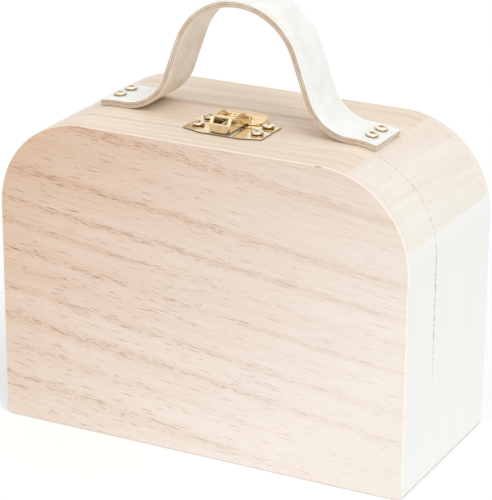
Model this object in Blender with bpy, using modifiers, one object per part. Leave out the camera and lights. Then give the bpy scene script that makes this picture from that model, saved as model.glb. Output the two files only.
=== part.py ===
# Wooden suitcase box with a leather strap handle and a brass toggle latch.
# Metres, +Z up. The origin is the middle of the footprint, on the bottom face.
# The lid is the shallow front half (towards -Y), the base is the deep rear half.

import bpy
import bmesh
from math import acos, atan2, ceil, copysign, cos, hypot, pi, radians, sin
from mathutils import Matrix, Vector

# Case
case_width = 0.200
case_height = 0.146
case_depth = 0.091
lid_depth = 0.0295
panel_thickness = 0.004
rim_wall = 0.008
top_corner_radius = 0.0425
bottom_corner_radius = 0.003
rail_sweep = radians(20)  # how far the top rails run into each corner arc
panel_edge_round = 0.0006

# Gaps
seam_gap = 0.0003  # between two pieces that touch
overrun = 0.004  # how far a cutter runs past what it cuts
hole_start = 0.0005  # how far above its seat a screw's hole begins
weld_distance = 0.000003

# Handle strap, of two plies
handle_shift = 0.002  # the strap sits this far to the right of the middle
handle_back = 0.0442  # from the front face to the strap's centre line
strap_width = 0.025
ply_thickness = 0.00135
handle_height = 0.0561
foot_bend_radius = 0.022
leg_lean = 0.0035  # sideways room between the arch and the foot bends
foot_length = 0.0123
handle_screw_setback = 0.0058  # from the strap's end to its screws
handle_screw_spacing = 0.0098

# Pan-head screws of the handle and the latch
screw_head_radius = 0.0029
screw_head_height = 0.0019
screw_head_rim = 0.0006
screw_shank_radius = 0.0012
screw_bite = 0.0052  # depth in the wood
screw_tip = 0.0014

# Latch, measured from the joint between lid and base and from the top face
latch_shift = 0.0025
latch_sheet = 0.0005
plate_width = 0.0384
plate_set_off = 0.0005  # each plate stops this short of the joint
catch_plate_depth = 0.0135
lever_plate_depth = 0.0110
plate_nose_width = 0.020
plate_nose_depth = 0.003
latch_screw_spread = 0.0288
catch_screw_back = 0.0055
lever_screw_back = 0.0052
lever_pivot_back = 0.0019
lever_pivot_rise = 0.0036
loop_pivot_reach = 0.0045
loop_pivot_drop = 0.0005
latch_pin_radius = 0.0006
latch_pin_room = 0.0001
latch_pin_head = 0.0003  # how far a pin stands out of its last eye
latch_eye_radius = 0.0012
side_play = 0.00035  # between the lever and its ears, across the latch
lever_half_width = 0.0032
lever_cheek_inset = 0.0001
lever_sheet_rise = 0.0016  # top of the lever's sheet, between its cheeks
tab_half_width = 0.0114
tab_depth = 0.0122
tab_end_back = 0.0156
tab_top_rise = 0.0033
tab_rise_start = 0.0058
tab_rise_end = 0.0120
tab_squareness = 2.5  # power of the tab's outline, 2 for an ellipse
tab_neck_angle = radians(75)  # where the outline leaves the neck
loop_front_reach = 0.0135
loop_foot_rise = 0.0019
loop_lip_rise = 0.0048
loop_slope_depth = 0.0032
loop_top_rise = 0.0077
loop_side_room = 0.0005
loop_window_setback = 0.0004
loop_window_depth = 0.0023
loop_window_half_width = 0.0034
loop_bar_end = 0.0053  # from the lip to the rear edge of the top bar
loop_arch_rise = 0.0080
loop_arch_start = 0.0070
loop_arch_top = 0.0022
hook_height = 0.0042
hook_half_width = 0.0030
hook_corner = 0.0008
hook_play = 0.0003
hook_slot_length = 0.0030

# Hinges, let into the bottom rails
hinge_inset = 0.040  # from the side of the case to the middle of a hinge
hinge_length = 0.016
knuckles = 3
hinge_barrel_radius = 0.0010
hinge_pin_radius = 0.00045
hinge_pin_room = 0.0001
hinge_leaf_thickness = 0.0008
hinge_leaf_height = 0.0060
hinge_floor_room = 0.0001  # the barrel clears the resting face by this
knuckle_gap = 0.0002
hinge_screw_spread = 0.0090
hinge_screw_height = 0.0038
hinge_screw_head = 0.0013
hinge_screw_cone = 0.0006
hinge_screw_shank = 0.0006
hinge_screw_length = 0.0080
hinge_screw_recess = 0.0001
joint_relief = radians(38)  # slope of the relief along the bottom of the joint

# Facets
corner_steps = 14
strap_steps = 20
bend_steps = 8
latch_steps = 6
tab_steps = 30
turn_steps = 16
small_turn_steps = 12
sharp_angle = radians(30)

# Worked out from the sizes above
front_y = -case_depth / 2
back_y = case_depth / 2
joint_y = front_y + lid_depth
flat_half = case_width / 2 - top_corner_radius
corner_z = case_height - top_corner_radius
strap_thickness = 2 * ply_thickness + seam_gap
strap_centre_y = front_y + handle_back
axis_z = hinge_barrel_radius + hinge_floor_room
hinge_x = case_width / 2 - hinge_inset
lever_axis = Vector((latch_shift, joint_y + lever_pivot_back, case_height + lever_pivot_rise))
loop_axis = lever_axis + Vector((0, loop_pivot_reach, -loop_pivot_drop))
lid_axis = Vector((0, joint_y, axis_z))

# Turns a flat outline so that its own x, y become world x, z or world y, z.
standing = Matrix.Rotation(pi / 2, 4, 'X')
sideways = Matrix(((0, 0, 1, 0), (1, 0, 0, 0), (0, 1, 0, 0), (0, 0, 0, 1)))

finishes = {
    'panel_wood': ((0.74, 0.58, 0.44), 0.62, 0.0),
    'rail_wood': ((0.76, 0.63, 0.54), 0.60, 0.0),
    'corner_wood': ((0.74, 0.58, 0.48), 0.60, 0.0),
    'side_wood': ((0.84, 0.77, 0.69), 0.62, 0.0),
    'leather': ((0.83, 0.74, 0.60), 0.55, 0.0),
    'leather_lining': ((0.70, 0.58, 0.44), 0.70, 0.0),
    'brass': ((0.78, 0.58, 0.26), 0.22, 1.0),
    'brass_screw': ((0.84, 0.66, 0.36), 0.25, 1.0),
}

for old in list(bpy.data.objects):
    bpy.data.objects.remove(old)
parts = bpy.data.collections.new('wooden_suitcase_box')
tools = bpy.data.collections.new('cutters')
for holder in (parts, tools):
    bpy.context.scene.collection.children.link(holder)


def set_finish(item, kind):
    color, rough, metal = finishes[kind]
    material = bpy.data.materials.new(item.name + '_finish')
    material.use_nodes = True
    shader = material.node_tree.nodes['Principled BSDF']
    shader.inputs['Base Color'].default_value = (*color, 1)
    shader.inputs['Roughness'].default_value = rough
    shader.inputs['Metallic'].default_value = metal
    material.diffuse_color = (*color, 1)
    item.data.materials.clear()
    item.data.materials.append(material)


def hang(item, carrier=None):
    """Put a piece in the parts collection, on the axis that carries it."""
    for holder in list(item.users_collection):
        holder.objects.unlink(item)
    parts.objects.link(item)
    if carrier:
        item.parent = carrier
        item.matrix_parent_inverse = carrier.matrix_world.inverted()
    return item


def add_part(item, kind, carrier=None):
    set_finish(item, kind)
    return hang(item, carrier)


def add_tool(item):
    """Put a cutter or a piece to be joined in the cutters collection, out of the render."""
    for holder in list(item.users_collection):
        holder.objects.unlink(item)
    tools.objects.link(item)
    item.hide_render = True
    item.display_type = 'WIRE'
    return item


def combine(item, tool, operation='DIFFERENCE'):
    step = item.modifiers.new(tool.name, 'BOOLEAN')
    step.operation = operation
    step.solver = 'EXACT'
    step.object = tool


def add_axis(name, place, carrier=None):
    axis = bpy.data.objects.new(name, None)
    axis.location = place
    parts.objects.link(axis)
    bpy.context.view_layer.update()
    if carrier:
        axis.parent = carrier
        axis.matrix_parent_inverse = carrier.matrix_world.inverted()
        bpy.context.view_layer.update()
    return axis


def mesh_of(item):
    """Turn a curve or a modified object into a plain mesh object in the same place."""
    bpy.context.scene.collection.objects.link(item)
    bpy.context.view_layer.update()
    depsgraph = bpy.context.evaluated_depsgraph_get()
    data = bpy.data.meshes.new_from_object(item.evaluated_get(depsgraph))
    solid = bpy.data.objects.new(item.name, data)
    solid.matrix_world = item.matrix_world.copy()
    build = bmesh.new()
    build.from_mesh(data)
    bmesh.ops.remove_doubles(build, verts=build.verts, dist=weld_distance)
    bmesh.ops.recalc_face_normals(build, faces=build.faces)
    build.to_mesh(data)
    build.free()
    data.shade_flat()
    name = item.name
    bpy.data.objects.remove(item)
    solid.name = name
    return solid


def shade_round(item):
    item.data.shade_smooth()
    item.data.set_sharp_from_angle(angle=sharp_angle)
    return item


def plate(name, outline, thickness, place=(0, 0, 0), turn=Matrix()):
    """A closed flat outline, given as (x, y) points, made thickness deep about its plane."""
    curve = bpy.data.curves.new(name, 'CURVE')
    curve.dimensions = '2D'
    curve.fill_mode = 'BOTH'
    curve.extrude = thickness / 2
    spline = curve.splines.new('POLY')
    spline.points.add(len(outline) - 1)
    for point, (x, y) in zip(spline.points, outline):
        point.co = (x, y, 0, 1)
    spline.use_cyclic_u = True
    item = bpy.data.objects.new(name, curve)
    item.matrix_world = Matrix.Translation(place) @ turn
    return mesh_of(item)


def box(name, low, high):
    bpy.ops.mesh.primitive_cube_add(size=1)
    item = bpy.context.object
    item.name = name
    low, high = Vector(low), Vector(high)
    item.data.transform(Matrix.Diagonal((*(high - low), 1)))
    item.location = (low + high) / 2
    return item


def rod(name, radius, length, place, turn=Matrix(), steps=turn_steps):
    bpy.ops.mesh.primitive_cylinder_add(radius=radius, depth=length, vertices=steps)
    item = bpy.context.object
    item.name = name
    item.matrix_world = Matrix.Translation(place) @ turn
    return shade_round(item)


def turned(name, profile, steps=turn_steps):
    """Turn a profile, given as (radius, height) from top to bottom, about its own z axis."""
    data = bpy.data.meshes.new(name)
    build = bmesh.new()
    rim = [build.verts.new((r, 0, z)) for r, z in profile]
    for upper, lower in zip(rim, rim[1:]):
        build.edges.new((upper, lower))
    build.to_mesh(data)
    build.free()
    item = bpy.data.objects.new(name, data)
    spin = item.modifiers.new('turn', 'SCREW')
    spin.steps = steps
    spin.render_steps = steps
    spin.use_merge_vertices = True
    spin.merge_threshold = weld_distance
    return mesh_of(item)


def tool_group(name, source, places):
    """One cutter that holds a separate copy of the source mesh at each place."""
    data = bpy.data.meshes.new(name)
    build = bmesh.new()
    for place in places:
        copy = source.data.copy()
        copy.transform(place)
        build.from_mesh(copy)
        bpy.data.meshes.remove(copy)
    build.to_mesh(data)
    build.free()
    bpy.data.objects.remove(source)
    return add_tool(bpy.data.objects.new(name, data))


def copies_at(name, source, places, kind, carrier=None):
    """A piece at each place, all of them sharing the source's mesh."""
    shade_round(source)
    set_finish(source, kind)
    for number, place in enumerate(places, 1):
        item = bpy.data.objects.new(name + '_' + str(number), source.data)
        item.matrix_world = place
        hang(item, carrier)
    bpy.data.objects.remove(source)


def arc(centre, radius, start, end, steps):
    """Points on an arc, both ends included."""
    return [
        (centre[0] + radius * cos(start + (end - start) * i / steps),
         centre[1] + radius * sin(start + (end - start) * i / steps))
        for i in range(steps + 1)
    ]


def mirrored(outline):
    return [(-x, y) for x, y in reversed(outline)]


# The rim of one half of the case

def panel_outline():
    """The full front outline of the case, which both face panels share."""
    half = case_width / 2
    right = arc((half - bottom_corner_radius, bottom_corner_radius), bottom_corner_radius,
                -pi / 2, 0, latch_steps)
    right += arc((flat_half, corner_z), top_corner_radius, 0, pi / 2, corner_steps)
    return right + mirrored(right)


def top_rail_outline():
    slack = seam_gap / 2 / (top_corner_radius - rim_wall / 2)
    end = pi / 2 - rail_sweep + slack
    steps = ceil(corner_steps * rail_sweep / (pi / 2))
    upper = arc((flat_half, corner_z), top_corner_radius, end, pi / 2, steps)
    lower = arc((flat_half, corner_z), top_corner_radius - rim_wall, pi / 2, end, steps)
    return upper + mirrored(upper) + mirrored(lower) + lower


def corner_outline():
    """The right-hand corner moulding, from the top rail down to the side board."""
    middle = top_corner_radius - rim_wall / 2
    start = seam_gap / 2 / middle
    end = pi / 2 - rail_sweep - start
    outer = arc((flat_half, corner_z), top_corner_radius, start, end, corner_steps)
    inner = arc((flat_half, corner_z), top_corner_radius - rim_wall, end, start, corner_steps)
    return outer + inner


def side_outline():
    half = case_width / 2
    top = corner_z - seam_gap / 2
    foot = arc((half - bottom_corner_radius, bottom_corner_radius), bottom_corner_radius,
               -pi / 2, 0, latch_steps)
    return foot + [(half, top), (half - rim_wall, top), (half - rim_wall, 0)]


def bottom_rail_outline():
    half = case_width / 2 - rim_wall - seam_gap
    return [(-half, 0), (half, 0), (half, rim_wall), (-half, rim_wall)]


def ease_edge(item, y, width):
    """Round the outer arris of a face panel, on the side that lies at world y."""
    build = bmesh.new()
    build.from_mesh(item.data)
    build.transform(item.matrix_world)
    build.normal_update()
    near = width / 2
    rim = [e for e in build.edges
           if all(abs(v.co.y - y) < near for v in e.verts)
           and any(abs(f.normal.y) < cos(pi / 4) for f in e.link_faces)
           and any(abs(f.normal.y) > cos(pi / 4) for f in e.link_faces)]
    bmesh.ops.bevel(build, geom=rim, offset=width, offset_type='OFFSET', segments=2,
                    profile=0.5, affect='EDGES')
    build.transform(item.matrix_world.inverted())
    build.to_mesh(item.data)
    build.free()


def joint_relief_tool():
    """A prism along the bottom of the joint that lets the two halves swing past each other."""
    reach = (axis_z + overrun) / (sin(joint_relief) / cos(joint_relief))
    outline = [(joint_y, axis_z), (joint_y - reach, -overrun), (joint_y + reach, -overrun)]
    return add_tool(plate('joint_relief', outline, case_width + 2 * overrun, turn=sideways))


def make_half(prefix, panel_name, outer_y, carrier, relief):
    """The panel and the six rim pieces of one half, between its outer face and the joint."""
    side = 1 if outer_y > joint_y else -1
    panel_y = outer_y - side * panel_thickness / 2
    panel = plate(panel_name, panel_outline(), panel_thickness, (0, panel_y, 0), standing)
    ease_edge(panel, outer_y, panel_edge_round)
    add_part(panel, 'panel_wood', carrier)
    rim_start = joint_y + side * seam_gap / 2
    rim_end = outer_y - side * (panel_thickness + seam_gap)
    depth = abs(rim_end - rim_start)
    place = (0, (rim_start + rim_end) / 2, 0)
    made = {}
    shapes = (
        ('top_rail', top_rail_outline(), 'rail_wood'),
        ('corner_right', corner_outline(), 'corner_wood'),
        ('corner_left', mirrored(corner_outline()), 'corner_wood'),
        ('side_right', side_outline(), 'side_wood'),
        ('side_left', mirrored(side_outline()), 'side_wood'),
        ('bottom_rail', bottom_rail_outline(), 'side_wood'),
    )
    for label, outline, kind in shapes:
        piece = plate(prefix + '_' + label, outline, depth, place, standing)
        if 'corner' in label:
            shade_round(piece)
        made[label] = add_part(piece, kind, carrier)
    for label in ('side_right', 'side_left', 'bottom_rail'):
        combine(made[label], relief)
    return made


# The handle

def handle_path():
    """The strap's centre line in the XZ plane, left to right, as (point, upward normal)."""
    foot_rise = case_height + seam_gap + strap_thickness / 2
    half_span = flat_half - handle_shift
    arch_radius = half_span - foot_bend_radius - leg_lean
    arch = (0, case_height + handle_height - strap_thickness / 2 - arch_radius)
    bend = (half_span, foot_rise + foot_bend_radius)
    tilt = atan2(bend[1] - arch[1], bend[0] - arch[0])
    spread = hypot(bend[0] - arch[0], bend[1] - arch[1])
    lean = tilt + acos((arch_radius + foot_bend_radius) / spread)
    right = []
    for i in range(strap_steps // 2 + 1):
        angle = pi / 2 + (lean - pi / 2) * 2 * i / strap_steps
        normal = Vector((cos(angle), sin(angle)))
        right.append((Vector(arch) + normal * arch_radius, normal))
    for i in range(bend_steps + 1):
        angle = lean + pi + (pi / 2 - lean) * i / bend_steps
        normal = -Vector((cos(angle), sin(angle)))
        right.append((Vector(bend) - normal * foot_bend_radius, normal))
    left = [(Vector((-p.x, p.y)), Vector((-n.x, n.y))) for p, n in right]
    path = []
    for run, side in ((left, -1), (right, 1)):
        run = [(p + Vector((handle_shift, 0)), n) for p, n in run]
        run += foot_run(side, run[-1][0], foot_rise)
        path.append(run)
    return list(reversed(path[0])) + path[1][1:]


def foot_run(side, start, foot_rise):
    """The foot: flat as far as the top face is flat, then round the corner of the case."""
    flat = max(flat_half - abs(start.x), 0)
    radius = top_corner_radius + foot_rise - case_height
    run = []
    if flat > seam_gap:
        run.append((Vector((side * flat_half, foot_rise)), Vector((0, 1))))
    sweep = max(foot_length - flat, seam_gap) / radius
    steps = bend_steps // 2
    for i in range(1, steps + 1):
        angle = sweep * i / steps
        normal = Vector((side * sin(angle), cos(angle)))
        run.append((Vector((side * flat_half, corner_z)) + normal * radius, normal))
    return run


def strap_ply(name, path, low, high, kind, holes):
    """One ply of the strap, between two heights above the centre line."""
    outline = [tuple(p + n * high) for p, n in path]
    outline += [tuple(p + n * low) for p, n in reversed(path)]
    ply = shade_round(plate(name, outline, strap_width, (0, strap_centre_y, 0), standing))
    add_part(ply, kind)
    combine(ply, holes)
    return ply


def handle_screw_places():
    """Where the handle's screw heads rest, each as a matrix with z out of the strap."""
    foot_rise = case_height + seam_gap + strap_thickness / 2
    radius = top_corner_radius + foot_rise - case_height
    seat = radius + strap_thickness / 2 + seam_gap
    places = []
    for side in (-1, 1):
        flat = max(flat_half - abs(side * (flat_half - handle_shift) + handle_shift), 0)
        angle = side * (foot_length - handle_screw_setback - flat) / radius
        angle = side * max(side * angle, 0)
        x = side * flat_half + seat * sin(angle)
        z = corner_z + seat * cos(angle)
        for row in (-1, 1):
            y = strap_centre_y + row * handle_screw_spacing / 2
            places.append(Matrix.Translation((x, y, z)) @ Matrix.Rotation(angle, 4, 'Y'))
    return places


# Screws

def pan_screw(name, length):
    """A pan-head screw whose head rests on its own z = 0 plane."""
    dome = arc((0, 0), 1, 0, pi / 2, latch_steps)
    head = [(screw_head_radius * c, screw_head_rim + (screw_head_height - screw_head_rim) * s)
            for c, s in reversed(dome)]
    head[0] = (0, screw_head_height)
    profile = head + [
        (screw_head_radius, 0),
        (screw_shank_radius, 0),
        (screw_shank_radius, screw_tip - length),
        (0, -length),
    ]
    return turned(name, profile, turn_steps)


def screw_hole(name, places, length):
    """Cylinders that clear the shank of each screw, from above its seat to below its tip."""
    radius = screw_shank_radius + seam_gap
    source = turned(name + '_shape', [
        (0, hole_start),
        (radius, hole_start),
        (radius, -length - seam_gap),
        (0, -length - seam_gap),
    ], small_turn_steps)
    return tool_group(name, source, places)


def add_screws(name, places, length, carrier=None):
    copies_at(name, pan_screw(name + '_shape', length), places, 'brass_screw', carrier)


# The latch

def latch_plate(name, depth, side, carrier=None):
    """A flat plate beside the joint, on the lid for side -1 and on the base for side 1."""
    half, nose = plate_width / 2, plate_nose_width / 2
    near, far = plate_set_off, plate_set_off + depth
    outline = [(-half, near), (half, near), (half, far - plate_nose_depth), (nose, far),
               (-nose, far), (-half, far - plate_nose_depth)]
    outline = [(x, side * u) for x, u in outline]
    place = (latch_shift, joint_y, case_height + seam_gap + latch_sheet / 2)
    return add_part(plate(name, outline, latch_sheet, place), 'brass', carrier)


def latch_screw_places(back, side):
    z = case_height + latch_sheet + 2 * seam_gap
    return [Matrix.Translation((latch_shift + row * latch_screw_spread / 2, joint_y + side * back, z))
            for row in (-1, 1)]


def side_plate(name, outline, thickness, x):
    """An upright sheet across the latch, from (back, rise) points from the joint and top face."""
    return plate(name, outline, thickness, (x, joint_y, case_height), sideways)


def across(name, radius, half_length, axis, steps=small_turn_steps):
    return rod(name, radius, 2 * half_length, axis, Matrix.Rotation(pi / 2, 4, 'Y'), steps)


ear_x = lever_half_width + side_play  # inner face of the ears
loop_inner = ear_x + latch_sheet + loop_side_room
loop_outer = loop_inner + latch_sheet
eye_hole_radius = latch_pin_radius + latch_pin_room


def make_lever_plate():
    """The base's plate with two upright ears that carry the lever."""
    item = latch_plate('latch_lever_plate', lever_plate_depth, 1)
    middle, rise = lever_pivot_back, lever_pivot_rise
    foot = seam_gap + latch_sheet / 2
    outline = arc((middle, rise), latch_eye_radius, 0, pi, 2 * latch_steps)
    outline += [(middle - latch_eye_radius, foot), (middle + latch_eye_radius, foot)]
    for side, label in ((-1, 'left'), (1, 'right')):
        x = latch_shift + side * (ear_x + latch_sheet / 2)
        ear = add_tool(side_plate('ear_' + label, outline, latch_sheet, x))
        combine(item, ear, 'UNION')
    bore = across('ear_bore', eye_hole_radius, loop_outer, lever_axis)
    combine(item, add_tool(bore))
    return item


def make_catch_plate(carrier):
    """The lid's plate with an upright hook, and the slot that the hook is bent out of."""
    item = latch_plate('latch_catch_plate', catch_plate_depth, -1, carrier)
    face = hook_back_y()
    foot = seam_gap + latch_sheet / 2
    place = (latch_shift, joint_y + face + latch_sheet / 2, case_height)
    outline = [(-hook_half_width, foot), (hook_half_width, foot)]
    outline += arc((hook_half_width - hook_corner, hook_height - hook_corner), hook_corner,
                   0, pi / 2, latch_steps)
    outline += arc((hook_corner - hook_half_width, hook_height - hook_corner), hook_corner,
                   pi / 2, pi, latch_steps)
    hook = add_tool(plate('hook', outline, latch_sheet, place, standing))
    combine(item, hook, 'UNION')
    start = joint_y + face + latch_sheet
    slot = box('hook_slot',
               (latch_shift - hook_half_width, start, case_height - overrun),
               (latch_shift + hook_half_width, start + hook_slot_length, case_height + overrun))
    combine(item, add_tool(slot))
    return item


def hook_back_y():
    """The hook's front face, just behind the loop's bent-down lip."""
    return -loop_front_reach + latch_sheet + hook_play


def sheet_line(back):
    """Height of the lever's upper surface at a distance behind the joint."""
    share = (back - tab_rise_start) / (tab_rise_end - tab_rise_start)
    return blend(lever_sheet_rise, tab_top_rise, min(max(share, 0), 1))


def blend(low, high, share):
    """A value that leaves low and reaches high without a corner at either end."""
    return low + (high - low) * (1 - cos(pi * share)) / 2


def tab_outline():
    """Plan of the thumb tab, from the right of the neck round to its left."""
    middle = tab_end_back - tab_depth / 2
    power = 2 / tab_squareness
    outline = []
    for i in range(tab_steps + 1):
        angle = -tab_neck_angle + (pi + 2 * tab_neck_angle) * i / tab_steps
        x = copysign(abs(cos(angle)) ** power, cos(angle))
        y = copysign(abs(sin(angle)) ** power, sin(angle))
        outline.append((tab_half_width * x, middle + tab_depth / 2 * y))
    return outline


def make_lever(carrier):
    """The lever: a low sheet with a wide thumb tab, and two cheeks that stand up at its neck."""
    front, rear = lever_pivot_back, lever_pivot_back + loop_pivot_reach
    start, end = front - overrun, tab_end_back + overrun
    line = [start + (end - start) * i / tab_steps for i in range(tab_steps + 1)]
    outline = [(u, sheet_line(u)) for u in line]
    outline += [(u, sheet_line(u) - latch_sheet) for u in reversed(line)]
    item = side_plate('latch_lever', outline, 2 * tab_half_width + overrun, latch_shift)
    add_part(item, 'brass', carrier)

    tab = tab_outline()
    neck = [(-lever_half_width, tab[-1][1]), (-lever_half_width, front),
            (lever_half_width, front), (lever_half_width, tab[0][1])]
    place = (latch_shift, joint_y, case_height)
    trim = add_tool(plate('lever_trim', tab + neck, 2 * (tab_top_rise + overrun), place))
    combine(item, trim, 'INTERSECT')

    cheek_end = rear + latch_eye_radius
    cheek = arc((front + lever_cheek_inset, lever_pivot_rise), latch_eye_radius,
                pi / 2, pi * 3 / 2, latch_steps)
    for i in range(latch_steps + 1):
        u = front + lever_cheek_inset + (cheek_end - front - lever_cheek_inset) * i / latch_steps
        cheek.append((u, sheet_line(u) - latch_sheet / 2))
    cheek += arc((rear, lever_pivot_rise - loop_pivot_drop), latch_eye_radius, 0, pi / 2,
                 latch_steps)
    for side, label in ((-1, 'left'), (1, 'right')):
        x = latch_shift + side * (lever_half_width - lever_cheek_inset - latch_sheet / 2)
        wall = add_tool(side_plate('lever_cheek_' + label, cheek, latch_sheet, x))
        combine(item, wall, 'UNION')
    for label, axis in (('front', lever_axis), ('rear', loop_axis)):
        bore = across('lever_bore_' + label, eye_hole_radius, loop_outer, axis)
        combine(item, add_tool(bore))
    return item


def loop_front_line():
    """Outer side of the loop's lip and sloping front, from the foot to the top bar's end."""
    front, slope = -loop_front_reach, loop_top_rise - loop_lip_rise
    line = [(front, loop_foot_rise)]
    for i in range(latch_steps + 1):
        share = i / latch_steps
        line.append((front + loop_slope_depth * share,
                     loop_lip_rise + slope * sin(pi / 2 * share)))
    return line + [(front + loop_bar_end, loop_top_rise)]


def moved_in(line, distance):
    """A copy of a line at a distance to its right."""
    inner = []
    for before, point, after in zip([line[0]] + line, line, line[1:] + [line[-1]]):
        along = (Vector(after) - Vector(before)).normalized()
        inner.append((point[0] + along.y * distance, point[1] - along.x * distance))
    return inner


def loop_outline():
    """Side view of the loop: lip, sloping front, top, arch and pivot eye, from the front."""
    rear, rise = lever_pivot_back + loop_pivot_reach, lever_pivot_rise - loop_pivot_drop
    outline = loop_front_line()
    for i in range(latch_steps + 1):
        share = i / latch_steps
        outline.append((-loop_arch_start + (loop_arch_start - loop_arch_top) * share,
                        blend(loop_top_rise, loop_arch_rise, share)))
    for i in range(1, latch_steps):
        share = i / latch_steps
        outline.append((-loop_arch_top + (rear + loop_arch_top) * share,
                        blend(loop_arch_rise, rise + latch_eye_radius, share)))
    return outline + arc((rear, rise), latch_eye_radius, pi / 2, -pi / 2, 2 * latch_steps)


def make_loop(carrier):
    """The loop: a folded sheet with a window, a lip that takes the hook, and two arched arms."""
    item = side_plate('latch_loop', loop_outline(), 2 * loop_outer, latch_shift)
    add_part(item, 'brass', carrier)
    inner = moved_in(loop_front_line(), latch_sheet)
    bar_rear = loop_bar_end - loop_front_reach
    far = lever_pivot_back + loop_pivot_reach + latch_eye_radius + overrun
    above = loop_arch_rise + overrun
    hollow = [(inner[0][0], -overrun)] + inner[1:] + [(bar_rear, above), (far, above),
                                                      (far, -overrun)]
    combine(item, add_tool(side_plate('loop_hollow', hollow, 2 * loop_inner, latch_shift)))
    window_start = joint_y - loop_front_reach + loop_window_setback
    window = box('loop_window',
                 (latch_shift - loop_window_half_width, window_start,
                  case_height + loop_lip_rise),
                 (latch_shift + loop_window_half_width, window_start + loop_window_depth,
                  case_height + above))
    combine(item, add_tool(window))
    bore = across('loop_bore', eye_hole_radius, loop_outer + overrun, loop_axis)
    combine(item, add_tool(bore))
    return item


# The hinges

def hinge_zone(name, middle_x, number, radius):
    """A block round one knuckle, that runs on past the barrel at either end."""
    share = hinge_length / knuckles
    start = middle_x - hinge_length / 2
    low = start + share * number - (overrun if number == 0 else knuckle_gap / 2)
    high = start + share * (number + 1) + (overrun if number == knuckles - 1 else knuckle_gap / 2)
    return add_tool(box(name, (low, joint_y - radius, axis_z - radius),
                        (high, joint_y + radius, axis_z + radius)))


def hinge_leaf(name, middle_x, side, carrier=None):
    """A leaf with its knuckles: the base's has the first and every second one after it."""
    near = joint_y + side * seam_gap / 2
    far = near + side * hinge_leaf_thickness
    item = box(name, (middle_x - hinge_length / 2, min(near, far), axis_z),
               (middle_x + hinge_length / 2, max(near, far), axis_z + hinge_leaf_height))
    add_part(item, 'brass', carrier)
    place = Vector((middle_x, joint_y, axis_z))
    barrel = across(name + '_barrel', hinge_barrel_radius, hinge_length / 2, place, turn_steps)
    combine(item, add_tool(barrel), 'UNION')
    for number in range(0 if side < 0 else 1, knuckles, 2):
        combine(item, hinge_zone(name + '_zone_' + str(number), middle_x, number,
                                 hinge_barrel_radius + seam_gap))
    bore = across(name + '_bore', hinge_pin_radius + hinge_pin_room,
                  hinge_length / 2 + overrun, place, turn_steps)
    combine(item, add_tool(bore))
    return item


def hinge_pocket(name, middle_x):
    """The recesses for both leaves and for the barrel, cut into the two bottom rails."""
    half = hinge_length / 2 + seam_gap
    deep = seam_gap / 2 + hinge_leaf_thickness + seam_gap
    leaves = box(name, (middle_x - half, joint_y - deep, axis_z),
                 (middle_x + half, joint_y + deep, axis_z + hinge_leaf_height + seam_gap))
    place = Vector((middle_x, joint_y, axis_z))
    barrel = across(name + '_barrel', hinge_barrel_radius + seam_gap, half, place, turn_steps)
    return add_tool(leaves), add_tool(barrel)


def hinge_screw_places(side):
    """Each screw's matrix has z out of the leaf's face, towards the joint."""
    face = joint_y + side * seam_gap / 2
    turn = Matrix.Rotation(side * pi / 2, 4, 'X')
    return [Matrix.Translation((hinge * hinge_x + row * hinge_screw_spread / 2, face,
                                axis_z + hinge_screw_height)) @ turn
            for hinge in (-1, 1) for row in (-1, 1)]


def hinge_screw_profile(room):
    """A countersunk screw with its face a little below the leaf's, or its hole for room > 0."""
    face = hole_start if room else -hinge_screw_recess
    throat = -hinge_screw_recess - hinge_screw_cone
    profile = [(0, face), (hinge_screw_head + room, face)]
    if room:
        profile.append((hinge_screw_head + room, -hinge_screw_recess))
    return profile + [
        (hinge_screw_shank + room, throat - room),
        (hinge_screw_shank + room, -hinge_screw_length - room),
        (0, -hinge_screw_length - room),
    ]


def add_hinge_screws(prefix, side, carrier=None):
    places = hinge_screw_places(side)
    name = 'hinge_' + prefix + '_screw'
    source = turned(name + '_shape', hinge_screw_profile(0), small_turn_steps)
    copies_at(name, source, places, 'brass_screw', carrier)
    hole = turned(name + '_hole_shape', hinge_screw_profile(seam_gap / 2), small_turn_steps)
    return tool_group(name + '_holes', hole, places)


# Assembly

lid_empty = add_axis('lid_hinge_axis', lid_axis)
lever_empty = add_axis('lever_pivot_axis', lever_axis)
loop_empty = add_axis('loop_pivot_axis', loop_axis, lever_empty)

relief = joint_relief_tool()
lid = make_half('lid', 'front_panel', front_y, lid_empty, relief)
base = make_half('base', 'back_panel', back_y, None, relief)

handle_length = strap_thickness + 2 * seam_gap + screw_bite
handle_places = handle_screw_places()
handle_holes = screw_hole('handle_screw_holes', handle_places, handle_length)
path = handle_path()
half_seam = seam_gap / 2
strap_ply('handle_strap_outer', path, half_seam, half_seam + ply_thickness, 'leather', handle_holes)
strap_ply('handle_strap_lining', path, -half_seam - ply_thickness, -half_seam,
          'leather_lining', handle_holes)
add_screws('handle_screw', handle_places, handle_length)
combine(base['top_rail'], handle_holes)

latch_length = latch_sheet + 2 * seam_gap + screw_bite
catch_places = latch_screw_places(catch_screw_back, -1)
lever_places = latch_screw_places(lever_screw_back, 1)
catch_holes = screw_hole('catch_screw_holes', catch_places, latch_length)
lever_holes = screw_hole('lever_screw_holes', lever_places, latch_length)
combine(make_catch_plate(lid_empty), catch_holes)
combine(make_lever_plate(), lever_holes)
combine(lid['top_rail'], catch_holes)
combine(base['top_rail'], lever_holes)
add_screws('latch_catch_screw', catch_places, latch_length, lid_empty)
add_screws('latch_lever_plate_screw', lever_places, latch_length)

make_lever(lever_empty)
make_loop(loop_empty)
lever_pin = across('latch_lever_pin', latch_pin_radius, ear_x + latch_sheet + latch_pin_head,
                   lever_axis)
add_part(lever_pin, 'brass')
loop_pin = across('latch_loop_pin', latch_pin_radius, loop_outer + latch_pin_head, loop_axis)
add_part(loop_pin, 'brass', lever_empty)

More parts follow.
